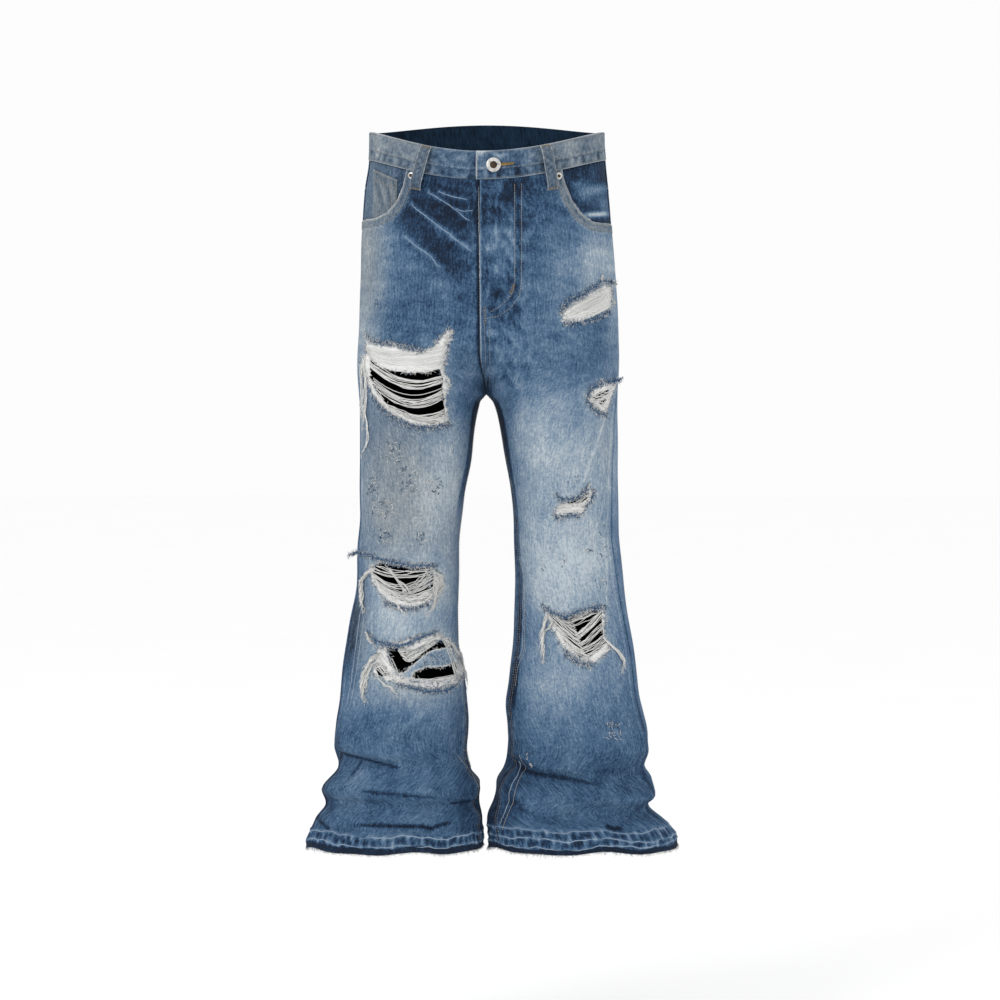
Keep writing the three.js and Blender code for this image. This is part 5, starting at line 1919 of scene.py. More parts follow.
@dataclass
class FrontPanel:
    """A front leg panel, cut away at the pocket and torn."""

    side: Side
    scoop: Points
    fray: Fray
    cell: float = 2.7
    columns: int = 92
    hem_rows: int = 24
    band: float = 12.5

    def grid(self) -> tuple[Array, Array, Array]:
        """Return the heights, the angles and the way across."""
        leg = LEGS[self.side]
        z = leg_levels(CLOTH_TOP_Z, self.cell, self.hem_rows)
        t = np.linspace(0, 1, self.columns)[None, :]
        start = np.radians(leg.outseam_turn(z))
        stop = Form.reach(z) - np.radians(leg.inseam_turn(z))
        angle = mix(start, stop, t)
        return z + 0 * angle, angle, t + 0 * z

    def snap(self, x: Array, z: Array, angle: Array) -> tuple[Array, Array, Array]:
        """Pull the points next to a torn or cut edge onto it.

        Returns:
            The moved x and height, and which points moved.
        """
        new_x, new_z = x.copy(), z.copy()
        best = np.full(x.shape, 0.62 * self.cell)
        edges = [(hole, True) for hole in self.fray.holes[self.side]] + [(np.array(self.scoop), False)]
        for outline, closed in edges:
            near = beside(z, outline, 6) & beside(x, outline, 6, 0)
            if not near.any():
                continue
            gap, px, pz, _ = Plane.nearest(x[near], z[near], outline, closed)
            closer = gap < best[near]
            for full, found in ((new_x, px), (new_z, pz), (best, gap)):
                part = full[near]
                part[closer] = found[closer]
                full[near] = part
        moved = (new_x != x) | (new_z != z)
        return new_x, new_z, moved & (angle > 0.4)

    def lift(self, z: Array, angle: Array, run: Array, total: Array, x: Array, height: Array) -> Array:
        """Return how far seams, hems and torn edges stand off the plain form.

        The arguments are those of paint.
        """
        leg = LEGS[self.side]
        to_outseam, to_inner = run, total - run
        out = -0.7 * bump(to_outseam, 1.4) + 0.4 * smooth((9 - to_outseam) / 2.5)
        below = in_leg(z, 6)
        out = out + below * (0.55 * smooth((10 - to_inner) / 2.5) - 0.9 * bump(to_inner, 1.4))
        rise = 1 - below
        if self.side is Side.LEFT:
            out = out + rise * (1.0 * np.exp(-to_inner / 10) + 0.25)
        else:
            out = out - rise * 0.8 * np.exp(-to_inner / 5)
        band = Plane.nearest(x, height, self.scoop)[0]
        out = out + 0.55 * smooth((self.band - band) / 2) - 0.3 * bump(band - self.band - 0.6, 1.0)
        gap = self.fray.gap(self.side, x, height)
        wobble = 0.5 + 0.5 * np.sin(x * 0.9 + 2 * np.sin(height * 0.6))
        out = out + 1.3 * np.exp(-np.maximum(gap, 0) / 2.6) * wobble
        return out + Hem.relief(z, angle, leg.sign)

    def paint(
        self, z: Array, angle: Array, way: Array, run: Array, total: Array, x: Array, height: Array
    ) -> dict[str, Array]:
        """Return the fade, with the painted shadow of the fly's overlap, the dust and the bare threads of
        each point.

        Args:
            z: height in the cut.
            angle: way round the leg, as an angle.
            way: way across the panel, 0 at the outseam and 1 at the inner seam.
            run: distance from the outseam.
            total: the panel's whole width at this height.
            x: across.
            height: real height.

        Returns:
            The painted values, by name.
        """
        leg = LEGS[self.side]
        fade, grime = Wash.front(x, height, way)
        bare, halo = self.fray.whiteness(self.side, x, height)
        fade = fade + 0.16 * halo * (1 - bare)
        to_inner = total - run
        below = in_leg(z, 6)
        fade = fade + 0.16 * bump(run - 9, 1.6) * smooth((-200 - z) / 60) - 0.18 * bump(run, 1.2)
        fade = fade + below * (0.12 * bump(to_inner - 10, 1.4) - 0.2 * bump(to_inner, 1.4))
        if self.side is Side.LEFT:
            fade = fade + (1 - below) * (0.55 * bump(to_inner - 0.6, 1.1) - 0.06 * bump(to_inner - 4, 3))
        else:
            # Painted shadow of the fly's overlap along the right panel's centre edge.
            fade = fade - (1 - below) * 0.42 * bump(to_inner, 4.0)
        band = Plane.nearest(x, height, self.scoop)[0]
        inside = smooth((self.band - band) / 1.2)
        streak = 0.5 + 0.5 * np.sin(band * 1.1 + np.sin(x * 0.7) + np.sin(height * 0.5))
        fade = mix(fade, 0.42 + 0.26 * streak, 0.62 * inside)
        fade = fade + 0.30 * bump(band - 0.4, 1.2) + 0.10 * bump(band - self.band, 1.4)
        grime = np.maximum(grime, 0.75 * inside)
        fade = Hem.fade(z, angle, leg.sign, fade)
        return plain_paint(np.clip(fade, -0.05, 1.1), grime, bare)

    def build(self, finishes: Finishes) -> bpy.types.Object:
        """Make the panel and return it."""
        leg = LEGS[self.side]
        level, angle, way = self.grid()
        z = level + hem_wave(level, angle, leg.sign)
        base = Form.place(leg, z, angle)
        run, _ = CutPiece.runs(base)
        total = run[:, -1:]
        x, height, moved = self.snap(base[..., 0], base[..., 2], angle)
        out = self.lift(level, angle, run, total, x, height)
        points, lifted = Form.pair(leg, z, angle, out)
        points[moved] = Form.on_front(x[moved], height[moved], out[moved])
        lifted[moved] = Form.on_front(x[moved], height[moved], out[moved] + 1)
        side_x = leg.sign * 230
        corner = [*self.scoop, (side_x, self.scoop[-1][1]), (side_x, 60), (self.scoop[0][0], 60)]
        at = (points[1:, 1:] + points[:-1, 1:] + points[1:, :-1] + points[:-1, :-1]) / 4
        keep = ~Plane.inside(at[..., 0], at[..., 2], corner)
        for outline in self.fray.holes[self.side]:
            keep &= ~Plane.inside(at[..., 0], at[..., 2], outline)
        paint = self.paint(level, angle, way, run, total, points[..., 0], points[..., 2])
        groups = (self.fray.threads, self.fray.fuzz, self.fray.rolls)
        extras = [group[self.side].build(finishes.thread) for group in groups]
        for extra in extras:
            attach(extra, "root")
        return CutPiece(
            f"front_panel_{self.side.value}", "denim_front", points, outward_of(points, lifted), paint,
            finishes.front, finishes.inside, keep=keep, extras=extras,
        ).build()


def yoke_seam(angle: Array) -> Array:
    """Return the height of the seam under the back yoke."""
    return mix(YOKE_SIDE, YOKE_CENTRE, np.abs(np.sin(angle)) ** 1.5)


@dataclass
class BackPanel:
    """A back leg panel, from the yoke to the hem."""

    side: Side
    cell: float = 4.2
    columns: int = 80
    hem_rows: int = 22
    top: float = -75.0

    def build(self, finishes: Finishes) -> bpy.types.Object:
        """Make the panel and return it."""
        leg = LEGS[self.side]
        level = leg_levels(self.top, self.cell, self.hem_rows)
        t = np.linspace(0, 1, self.columns)[None, :]
        start = np.radians(leg.outseam_turn(level))
        stop = -(Form.reach(level) + np.radians(leg.inseam_turn(level)))
        angle = mix(start, stop, t)
        z = level + (yoke_seam(angle) - 0.3 - self.top) * smooth((level + 150) / 75)
        z = z + hem_wave(level, angle, leg.sign)
        base = Form.place(leg, z, angle)
        run, _ = CutPiece.runs(base)
        to_outseam, to_inner = run, run[:, -1:] - run
        out = -0.7 * bump(to_outseam, 1.6) + 0.4 * smooth((9 - to_outseam) / 2.5)
        out = out - 0.8 * bump(to_inner, 1.8) + 0.5 * smooth((10 - to_inner) / 3)
        from_yoke = yoke_seam(angle) - z
        out = out + 0.5 * bump(from_yoke - 1.5, 2.0) + Hem.relief(level, angle, leg.sign)
        points, lifted = Form.pair(leg, z, angle, out)
        fade, grime = Wash.back(points[..., 0], points[..., 2], t + 0 * z)
        fade = fade + 0.14 * bump(to_outseam - 9, 1.8) - 0.16 * bump(to_outseam, 1.6)
        fade = fade + 0.14 * bump(to_inner - 10, 1.8) - 0.2 * bump(to_inner, 1.8)
        fade = fade + 0.2 * bump(from_yoke - 1.5, 2.2)
        pucker = np.sin(to_inner * 0.2 + z / 2.4)
        fade = fade + 0.08 * pucker * bump(to_inner - 5, 5)
        fade = Hem.fade(level, angle, leg.sign, np.clip(fade, 0, 1))
        return CutPiece(
            f"back_panel_{self.side.value}", "denim_back", points, outward_of(points, lifted),
            plain_paint(fade, grime), finishes.back, finishes.inside,
            rests_on=(f"back_yoke_{self.side.value}",),
        ).build()


@dataclass
class BackYoke:
    """The shaped yoke between the waistband and a back panel."""

    side: Side
    rows: int = 24
    columns: int = 78

    def build(self, finishes: Finishes) -> bpy.types.Object:
        """Make the yoke and return it."""
        leg = LEGS[self.side]
        t = np.linspace(0, 1, self.columns)[None, :]
        angle = mix(0.0, -np.pi / 2, t) + np.zeros((self.rows, 1))
        z = mix(CLOTH_TOP_Z, yoke_seam(angle), np.linspace(0, 1, self.rows)[:, None])
        low = z - yoke_seam(angle)
        out = 0.45 - 0.8 * bump(low, 1.4)
        points, lifted = Form.pair(leg, z, angle, out)
        fade, grime = Wash.back(points[..., 0], points[..., 2], t + 0 * z)
        run, _ = CutPiece.runs(points)
        ripple = np.sin(run / 2.6 + np.sin(run / 13))
        fade = fade + 0.2 * bump(low - 2, 1.6) + 0.1 * ripple * bump(low - 6, 5)
        fade = fade + 0.08 * ripple * bump(z + 24, 4)
        return CutPiece(
            f"back_yoke_{self.side.value}", "denim_back", points, outward_of(points, lifted),
            plain_paint(fade, grime), finishes.back, finishes.band_inside,
        ).build()


@dataclass
class BackPocket:
    """A five-sided patch pocket sewn on a back panel."""

    side: Side
    near: float = 0.34
    far: float = 0.88
    taper: float = 0.03
    rows: int = 62
    columns: int = 56

    def place(self, across: Array, down: Array, out: Array | float) -> Array:
        """Return points of the pocket from its own two directions."""
        leg = LEGS[self.side]
        way = mix(self.near + self.taper * down, self.far - self.taper * down, across)
        point = 20 * (1 - np.abs(2 * across - 1))
        z = mix(-108 - 6 * across, -248 - point, down)
        return Form.place(leg, z, -way * Form.reach(z), out)

    def build(self, finishes: Finishes) -> bpy.types.Object:
        """Make the pocket and return it."""
        across = np.linspace(0, 1, self.columns)[None, :] + np.zeros((self.rows, 1))
        down = np.linspace(0, 1, self.rows)[:, None] + np.zeros((1, self.columns))
        flat = self.place(across, down, 0)
        run, fall = CutPiece.runs(flat)
        edge = np.minimum(np.minimum(run, run[:, -1:] - run), fall[-1:] - fall)
        top = fall
        out = 1.7 + 0.9 * smooth(edge / 16) + 0.5 * np.exp(-top / 6) * smooth(edge / 12)
        out = out - 0.25 * bump(edge - 2, 0.9) - 0.25 * bump(edge - 8, 0.9) - 0.3 * bump(top - 13, 1.1)
        points, lifted = self.place(across, down, out), self.place(across, down, out + 1)
        fade, grime = Wash.back(points[..., 0], points[..., 2], across)
        fade = fade + 0.34 * bump(edge, 1.6) + 0.30 * bump(top, 1.8) - 0.10 * bump(edge - 5, 2.2) + 0.05
        ripple = np.sin(fall / 2.6) * bump(np.minimum(run, run[:, -1:] - run) - 5, 4)
        fade = fade + 0.1 * ripple + 0.12 * bump(top - 13, 2)
        return CutPiece(
            f"back_pocket_{self.side.value}", "denim_back", points, outward_of(points, lifted),
            plain_paint(fade, grime), finishes.back, finishes.inside, "laid",
            (f"back_panel_{self.side.value}",),
        ).build()


@dataclass
class PocketFacing:
    """The denim that shows inside a front pocket's scoop."""

    side: Side
    near_x: float
    high: float

    def build(self, finishes: Finishes) -> bpy.types.Object:
        """Make the facing and return it."""
        leg = LEGS[self.side]
        z = np.linspace(CLOTH_TOP_Z, -118, 42)[:, None]
        t = np.linspace(0, 1, 40)[None, :]
        angle = mix(-0.03, Form.angle_at(leg, z, np.full(z.shape, self.near_x)), t)
        z = z + 0 * angle
        high = mix(-1.5, self.high, smooth((angle + 0.02) / 0.3))
        points, lifted = Form.pair(leg, z, angle, high)
        x, height = points[..., 0], points[..., 2]
        if self.side is Side.LEFT:
            fade = np.full(x.shape, 0.10)
            for patch in (
                Patch(146, -60, 26, 7, 0.42, 14), Patch(137, -74, 16, 7, 0.10),
                Patch(158, -79, 8, 14, 0.3), Patch(146, -93, 20, 3.4, 0.85, 6), Patch(120, -54, 12, 6, 0.2),
            ):
                fade = fade + patch.weigh(x, height)
            grime = np.zeros(x.shape)
        else:
            fade = np.full(x.shape, 0.40) + Patch(-115, -62, 8, 20, -0.2).weigh(x, height)
            grime = np.full(x.shape, 0.5)
        return CutPiece(
            f"pocket_facing_{self.side.value}", "denim_pocket", points, outward_of(points, lifted),
            plain_paint(fade, grime), finishes.pocket, finishes.inside,
        ).build()


@dataclass
class CoinPocket:
    """The small pocket on the right facing."""

    from_x: float = -155.0
    to_x: float = -121.0
    high: float = -2.5

    def build(self, finishes: Finishes) -> bpy.types.Object:
        """Make the pocket and return it."""
        leg = LEGS[Side.RIGHT]
        t = np.linspace(0, 1, 22)[None, :]
        down = np.linspace(0, 1, 40)[:, None]
        x = mix(self.from_x, self.to_x, t) + 0 * down
        z = mix(-30 - 6 * t, -112.0, down)
        angle = Form.angle_at(leg, z, x)
        side = np.minimum(t, 1 - t) * (self.to_x - self.from_x) + 0 * z
        top = -30 - 6 * t - z
        out = self.high - 0.5 * bump(side, 1.4) - 0.3 * bump(top - 11, 1.2)
        points, lifted = Form.pair(leg, z, angle, out)
        fade = 0.47 + 0.24 * bump(top, 1.6) + 0.2 * bump(side, 1.2) - 0.08 * bump(top - 6, 4)
        streak = 0.12 * np.sin(x * 0.5 + points[..., 2] * 0.16) * np.sin(points[..., 2] * 0.07)
        return CutPiece(
            "coin_pocket", "denim_pocket", points, outward_of(points, lifted),
            plain_paint(fade + streak, 1.0), finishes.pocket, finishes.inside,
            "laid", ("pocket_facing_right",),
            thickness=1.1,
        ).build()


@dataclass
class FlyShield:
    """The layer behind the fly."""

    under: float = -24.0
    over: float = 34.0
    high: float = -2.5

    def build(self, finishes: Finishes) -> bpy.types.Object:
        """Make the shield and return it."""
        z = np.linspace(CLOTH_TOP_Z, RISE_TURN_Z, 70)[:, None]
        x = np.linspace(self.under, self.over, 22)[None, :] + 0 * z
        x = np.where(x > 0, x * (1 - 0.35 * smooth((-190 - z) / 46)), x)
        points, lifted = np.zeros(x.shape + (3,)), np.zeros(x.shape + (3,))
        for leg in LEGS.values():
            mine = x < CENTRE_X if leg.side is Side.RIGHT else x >= CENTRE_X
            angle = Form.angle_at(leg, z, x)
            points[mine] = Form.place(leg, z + 0 * x, angle, self.high)[mine]
            lifted[mine] = Form.place(leg, z + 0 * x, angle, self.high + 1)[mine]
        fade = np.full(x.shape, 0.18)
        return CutPiece(
            "fly_shield", "denim_dark", points, outward_of(points, lifted), plain_paint(fade),
            finishes.pocket, finishes.band_inside,
        ).build()


@dataclass
class Waistband:
    """The folded band, from its buttoned end round the back to the end beneath it."""

    rows: int = 24
    step: float = 0.014

    def build(self, finishes: Finishes) -> bpy.types.Object:
        """Make the band and return it."""
        right, left = LEGS[Side.RIGHT], LEGS[Side.LEFT]
        quarter = np.pi / 2
        start = flap_angle()
        tab = float(Form.angle_at(left, np.array(0.0), np.array(TAB_REACH_X)))
        route = [(right, a, 0.0) for a in np.linspace(start, quarter, 4)[:-1]]
        count = int(2 * quarter / self.step)
        route += [(left, a, 0.0) for a in np.linspace(quarter, -quarter, count)]
        route += [
            (right, a, float(smooth((a - start + 0.3) / 0.26)))
            for a in np.linspace(-quarter, quarter, count)[1:]
        ]
        route += [(left, a, 1.0) for a in np.linspace(quarter, tab, 12)[1:]]
        angle = np.array([r[1] for r in route])[None, :]
        under = np.array([r[2] for r in route])[None, :]
        is_left = np.array([r[0] is left for r in route])
        z = np.linspace(BAND_HALF, -BAND_HALF, self.rows)[:, None] + 0 * angle
        flat = self.along(z, angle + 0 * z, is_left, 0.0)
        run, _ = CutPiece.runs(flat)
        gather = 0.55 * np.sin(run / 1.75 + 2 * np.sin(run / 17) + 0.1 * z)
        gather = gather + 0.45 * np.sin(run / 2.9 + 3 * np.sin(run / 23) - 0.2 * z)
        strip = smooth((-5.5 - z) / 2.5) * smooth((z + 18.5) / 2.5)
        out = BAND_OUT - under * (BAND_WALL + 0.3) + 0.38 * gather * strip - 0.35 * bump(z + 5.6, 1.1)
        out = out - 0.7 * bump(np.abs(z) - 19, 1.3) + 0.25 * np.sin(run / 9 + z * 0.12) * smooth((z + 4) / 5)
        front = np.sin(angle) >= 0
        flap = front * bump(run, 12) * (1 - under)
        out = out + 0.5 * flap
        points = self.along(z, angle + 0 * z, is_left, out)
        lifted = self.along(z, angle + 0 * z, is_left, out + 1)
        x = points[..., 0]
        ends = smooth((np.abs(x + 4) - 40) / 70)
        fade = 0.36 + 0.20 * ends + 0.12 * np.sin(run / 21 + 1.3) * np.sin(run / 6.5 + z * 0.05)
        fade = fade + 0.16 * strip * gather - 0.06 * strip
        fade = fade + 0.42 * bump(z - 18.8, 1.2) + 0.34 * bump(z + 18.8, 1.1)
        fade = fade + 0.09 * cloud(run, z * 1.6, 9.0)
        dash = 0.5 + 0.5 * np.sin(run / 1.1)
        fade = fade + 0.24 * dash * bump(z + 4.4, 1.0) - 0.16 * bump(z + 6.4, 1.3)
        for patch in (
            Patch(-6, -12, 9, 5, 0.45, 20), Patch(10, -14, 12, 3, 0.3, -30),
            Patch(22, -16, 10, 2.4, 0.25, 10),
        ):
            fade = fade + patch.weigh(x, points[..., 2]) * front
        fade = fade + 0.4 * bump(run, 1.4) * (1 - under)
        grime = (0.3 + 0.5 * ends) * front + 0.3 * (~front)
        return CutPiece(
            "waistband", "denim_band", points, outward_of(points, lifted), plain_paint(fade, grime),
            finishes.band, finishes.band_inside, "folded", (), thickness=BAND_WALL,
        ).build()

    @staticmethod
    def along(z: Array, angle: Array, is_left: Array, out: Array | float) -> Array:
        """Return the band's points, each on the leg whose half it belongs to."""
        first = Form.place(LEGS[Side.RIGHT], z, angle, out)
        second = Form.place(LEGS[Side.LEFT], z, angle, out)
        return np.where(is_left[None, :, None], second, first)


@dataclass
class BeltLoop:
    """A belt loop that bows off the band and lies on the cloth at both ends."""

    node: str
    leg: Leg
    top_x: float = 0.0
    bottom_x: float = 0.0
    back_angle: float | None = None
    width: float = 13.5
    wall: float = 1.5
    slot: float = 6.2
    rows: int = 56

    def place(self, side: Array, t: Array, out: Array | float) -> Array:
        """Return points from -1 to 1 across and 0 to 1 down."""
        z = mix(18.2, -44.0, t)
        bow = np.minimum(1, np.sin(np.pi * t) * 2.1) ** 0.8
        high = BAND_OUT + 0.3 + self.slot * bow + self.wall + out
        half = self.width / 2
        if self.back_angle is None:
            x = mix(self.top_x, self.bottom_x, t) + side * half
            return Form.place(self.leg, z, Form.angle_at(self.leg, z, x), high)
        if abs(self.back_angle) > 1.5:
            turn = np.abs(side) * half / 165.0
            right = Form.place(LEGS[Side.RIGHT], z, -np.pi / 2 + turn, high)
            left = Form.place(LEGS[Side.LEFT], z, -np.pi / 2 + turn, high)
            return np.where((side < 0)[..., None], right, left)
        return Form.place(self.leg, z, self.back_angle + side * half / 140.0, high)

    def build(self, finishes: Finishes) -> bpy.types.Object:
        """Make the loop and return it."""
        side = np.linspace(-1, 1, 11)[None, :] + np.zeros((self.rows, 1))
        t = np.linspace(0, 1, self.rows)[:, None] + np.zeros((1, 11))
        crown = 0.25 - 0.45 * np.abs(side) ** 4 - 0.2 * bump(np.abs(side) - 0.62, 0.09)
        points, lifted = self.place(side, t, crown), self.place(side, t, crown + 1)
        fade = 0.36 + 0.5 * smooth((np.abs(side) - 0.8) / 0.18)
        fade = fade + 0.10 * np.sin(t * 41) * np.sin(side * 4 + t * 9)
        fade = fade + 0.3 * bump(t, 0.03) + 0.3 * bump(t - 1, 0.03)
        return CutPiece(
            self.node, "denim_loop", points, outward_of(points, lifted), plain_paint(fade, 0.8),
            finishes.loop, finishes.inside, "folded", ("waistband",), thickness=self.wall,
        ).build()


LOOPS = (
    BeltLoop("belt_loop_1", LEGS[Side.RIGHT], -79, -94), BeltLoop("belt_loop_2", LEGS[Side.LEFT], 77, 87),
    BeltLoop("belt_loop_3", LEGS[Side.RIGHT], back_angle=-0.72),
    BeltLoop("belt_loop_4", LEGS[Side.LEFT], back_angle=-0.72),
    BeltLoop("belt_loop_5", LEGS[Side.LEFT], back_angle=-np.pi / 2),
)


# ------------------------------------------------------------------ sewing
SEAM_RIDGES = (
    (((-169, -614), (-173, -649), (-179, -690), (-184, -724), (-192, -757)), 0.65),
    (((-164, -625), (-168, -655), (-174, -693), (-180, -726), (-186, -756)), 0.5),
    (((42, -536), (49, -576), (49, -635), (47, -678), (39, -701), (37, -731)), 0.5),
    (((27, -821), (37, -834), (41, -849), (35, -869), (27, -892), (16, -926)), 0.6),
    (((-36, -820), (-27, -832), (-16, -849), (-12, -866), (-8, -883)), 0.5),
    (((167, -378), (163, -410), (162, -455), (161, -501), (160, -555)), 0.45),
    (((159, -365), (150, -402), (139, -431), (128, -455)), 0.6),
)
SEAM_ROWS = (
    (((44, -555), (51, -582), (52, -635), (50, -678), (42, -703), (39, -731)), 0.9, 0.05),
    (((46, -820), (45, -835), (46, -850), (41, -872), (32, -893), (22, -924)), 0.95, 0.05),
    (((-31, -817), (-21, -829), (-12, -846)), 0.9, 0.1),
    (((-40, -823), (-31, -836), (-20, -854), (-17, -869)), 0.9, 0.1),
)


class Ridges:
    """The thin worn lines that stand along folds, edges and hem ropes."""

    def __init__(self) -> None:
        """Start the joined piece."""
        self.lines = Strands("worn_ridges", 4)
        self.rng = np.random.default_rng(RNG_SEED + 5)

    def draw(self, path: Array, radius: float, tone: float, blue: float) -> None:
        """Lay one line whose thickness comes and goes, thin at its ends."""
        size = len(path)
        t = np.linspace(0, 1, size)
        ends = np.clip(np.minimum(t, 1 - t) * 8, 0.3, 1)
        rough = np.convolve(self.rng.random(size + 4), np.ones(5) / 5, "valid")
        self.lines.add(path[None], (radius * ends * (0.45 + 1.1 * rough))[None], tone, blue)

    def front(self, line: Points, radius: float, tone: float, blue: float, out: float) -> None:
        """Lay a line drawn on the front."""
        walk = Plane.walk(line, 2.0)
        walk = walk + self.rng.normal(0, 0.22, walk.shape)
        self.draw(Form.on_front(walk[:, 0], walk[:, 1], out), radius, tone, blue)

    def rope(self, leg: Leg, level: float) -> None:
        """Lay one of the hem's pale ropes round a leg, in lengths with small gaps between them."""
        start = -np.pi
        while start < np.pi:
            stop = min(start + self.rng.uniform(0.5, 1.6), np.pi)
            angle = np.arange(start, stop, 0.03)
            if len(angle) > 6:
                z = Hem.line(level, angle, leg.sign)
                out = Hem.relief(z, angle, leg.sign) - 0.1
                z = z + hem_wave(np.full(angle.shape, level), angle, leg.sign)
                self.draw(Form.place(leg, z, angle, out), 0.62, self.rng.uniform(0.7, 1.0), 0.85)
            start = stop + self.rng.uniform(0.0, 0.05)

    def band_edges(self, leg: Leg) -> None:
        """Lay the worn lines along the band's top and bottom on one half."""
        for z in (18.4, -18.5):
            angle = np.linspace(-np.pi / 2, np.pi / 2 - 0.02, 260)
            if leg.side is Side.RIGHT:
                angle = angle[angle < flap_angle() - 0.3]
            self.draw(Form.place(leg, np.full(angle.shape, z), angle, BAND_OUT - 0.3), 0.42, 0.75, 0.6)

    def build(self, finishes: Finishes) -> bpy.types.Object:
        """Lay every line and return the joined piece."""
        for line in WHISKERS:
            self.front(line, 0.6, 0.85, 0.9, -0.25)
        for line, radius in SEAM_RIDGES:
            self.front(line, radius, 0.8, 0.75, 0.0)
        for scoop in (RIGHT_SCOOP, LEFT_SCOOP):
            self.front(scoop[1:], 0.55, 0.8, 0.35, 0.25)
        self.front(((-11, -58), (-10, -102), (-8, -208), (-7, -295)), 0.5, 0.75, 0.6, 0.9)
        for leg in LEGS.values():
            for level in Hem.ROPES[leg.sign]:
                self.rope(leg, level)
            self.band_edges(leg)
        right = LEGS[Side.RIGHT]
        z = np.linspace(18.5, -18.5, 24)
        angle = Form.angle_at(right, z, np.full(z.shape, FLAP_EDGE_X + 0.4))
        self.draw(Form.place(right, z, angle, BAND_OUT + 0.2), 0.6, 0.9, 0.3)
        piece = self.lines.build(finishes.thread)
        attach(piece, "root")
        return piece


class Sewing:
    """Every visible row of stitches, bartack and fringe."""

    def __init__(self) -> None:
        """Start the joined pieces that the stitches go into."""
        self.tan = Strands("tan_stitches")
        self.gold = Strands("gold_bartacks")
        self.fringe = {side: Strands(f"hem_fringe_{side.value}") for side in Side}
        self.needle = Needle(self.tan, RNG_SEED + 1)
        self.bar = Needle(self.gold, RNG_SEED + 2)
        self.rng = np.random.default_rng(RNG_SEED + 3)

    def fly(self) -> None:
        """Sew the fly's curved double row and its bars, and the double row down to the crotch."""
        outer = (
            (46, -53), (46, -129), (46, -184), (43, -202), (32, -218),
            (16, -229), (-5, -233),
        )
        inner = (
            (37, -54), (37, -129), (37, -184), (34, -199), (26, -209),
            (15, -218), (4, -224),
        )
        for line in (outer, inner):
            self.needle.front(line, 0.78, 0.1, 0, 0.6)
        for line, tone, blue in SEAM_ROWS:
            self.needle.front(line, tone, blue, 0, 0.5)
        for shift in (-1.0, 0.2, 1.4):
            self.needle.front(((-3, -216), (-2, -242)), 0.5, 0.2, shift, 1.0)
            self.bar.front(((36, -187), (30, -202)), 0.5, 0, shift, 0.8)
        self.needle.front(((-3, -237), (-2, -267), (-1, -303), (0, -326)), 0.6, 0.25, 0, 0.7)
        self.needle.front(((4, -242), (4, -267), (4, -303), (4, -326)), 0.6, 0.25, 0, 0.5)
        self.needle.front(((-8, -60), (-8, -142), (-7, -231)), 0.45, 0.4, -2.0, 0.8)

    def scoops(self) -> None:
        """Sew the double rows round both front pockets and over the coin pocket."""
        for scoop in (RIGHT_SCOOP, LEFT_SCOOP):
            line = scoop[1:]
            sign = 1.0 if scoop is RIGHT_SCOOP else -1.0
            for shift in (2.2, 9.2):
                self.needle.front(line, 0.62, 0.1, sign * shift, 0.65)
        right = LEGS[Side.RIGHT]
        for level in (-32.0, -43.0):
            x = np.linspace(-153, -123, 30)
            z = level - 6 * (x + 155) / 34
            self.needle.round(right, z, Form.angle_at(right, z, x), 0.75, 0, -2.3)
        z = np.linspace(-40, -104, 50)
        for x in (-123.0, -128.0):
            self.needle.round(right, z, Form.angle_at(right, z, np.full(z.shape, x)), 0.75, 0, -2.3)

    def seams(self) -> None:
        """Sew the inseams, the back rise and the yokes."""
        for side, leg in LEGS.items():
            z = np.arange(-338.0, -944.0, -1.5)
            reach = Form.reach(z) - np.radians(leg.inseam_turn(z))
            half = np.maximum(np.abs(leg.outseam(z) - leg.inseam(z)) / 2, 30)
            for shift in (2.4, 8.2):
                self.needle.round(leg, z, reach - shift / half * 1.05, 0.55, 0.45, 0.75)
            z = np.arange(-24.0, -318.0, -1.5)
            back = Form.reach(z)
            if side is Side.LEFT:
                for shift in (2.4, 8.2):
                    self.needle.round(leg, z, -(back - shift / 130.0), 0.6, 0.2, 0.75)
            angle = np.linspace(-0.02, -np.pi / 2 + 0.02, 240)
            for shift, out in ((-2.2, 0.8), (4.0, 0.65)):
                self.needle.round(leg, yoke_seam(angle) - shift, angle, 0.62, 0.15, out)

    def band(self) -> None:
        """Sew round the waistband's edges."""
        for leg in LEGS.values():
            for z, tone in ((-16.6, 0.5), (16.8, 0.45), (-4.6, 0.6)):
                angle = np.linspace(-np.pi / 2, np.pi / 2 - 0.01, 500)
                if leg.side is Side.RIGHT:
                    angle = angle[angle < flap_angle() - 0.32]
                self.needle.round(leg, np.full(angle.shape, z), angle, tone, 0.25, BAND_OUT)
        z = np.linspace(15.5, -16.5, 20)
        right = LEGS[Side.RIGHT]
        angle = Form.angle_at(right, z, np.full(z.shape, FLAP_EDGE_X + 2.0))
        self.needle.round(right, z, angle, 0.75, 0, BAND_OUT + 0.5)

    def pockets(self, pockets: Iterable[BackPocket]) -> None:
        """Sew the back pockets' double rows and top hems."""
        for pocket in pockets:
            for inset in (2.2, 8.0):
                a, d = inset / 105.0, inset / 150.0
                corners = [(a, 0.0), (a, 1 - d), (0.5, 1 - d), (1 - a, 1 - d), (1 - a, 0.0)]
                walk = Plane.walk(corners, 0.006)
                base, lifted = (pocket.place(walk[:, 0], walk[:, 1], out) for out in (2.0, 3.0))
                self.needle.sew(base, lifted, 0.65, 0.1)
            for inset in (2.2, 12.5):
                across = np.linspace(0.02, 0.98, 90)
                down = np.full(across.shape, inset / 150.0)
                base, lifted = (pocket.place(across, down, out) for out in (2.7, 3.7))
                self.needle.sew(base, lifted, 0.65, 0.1)

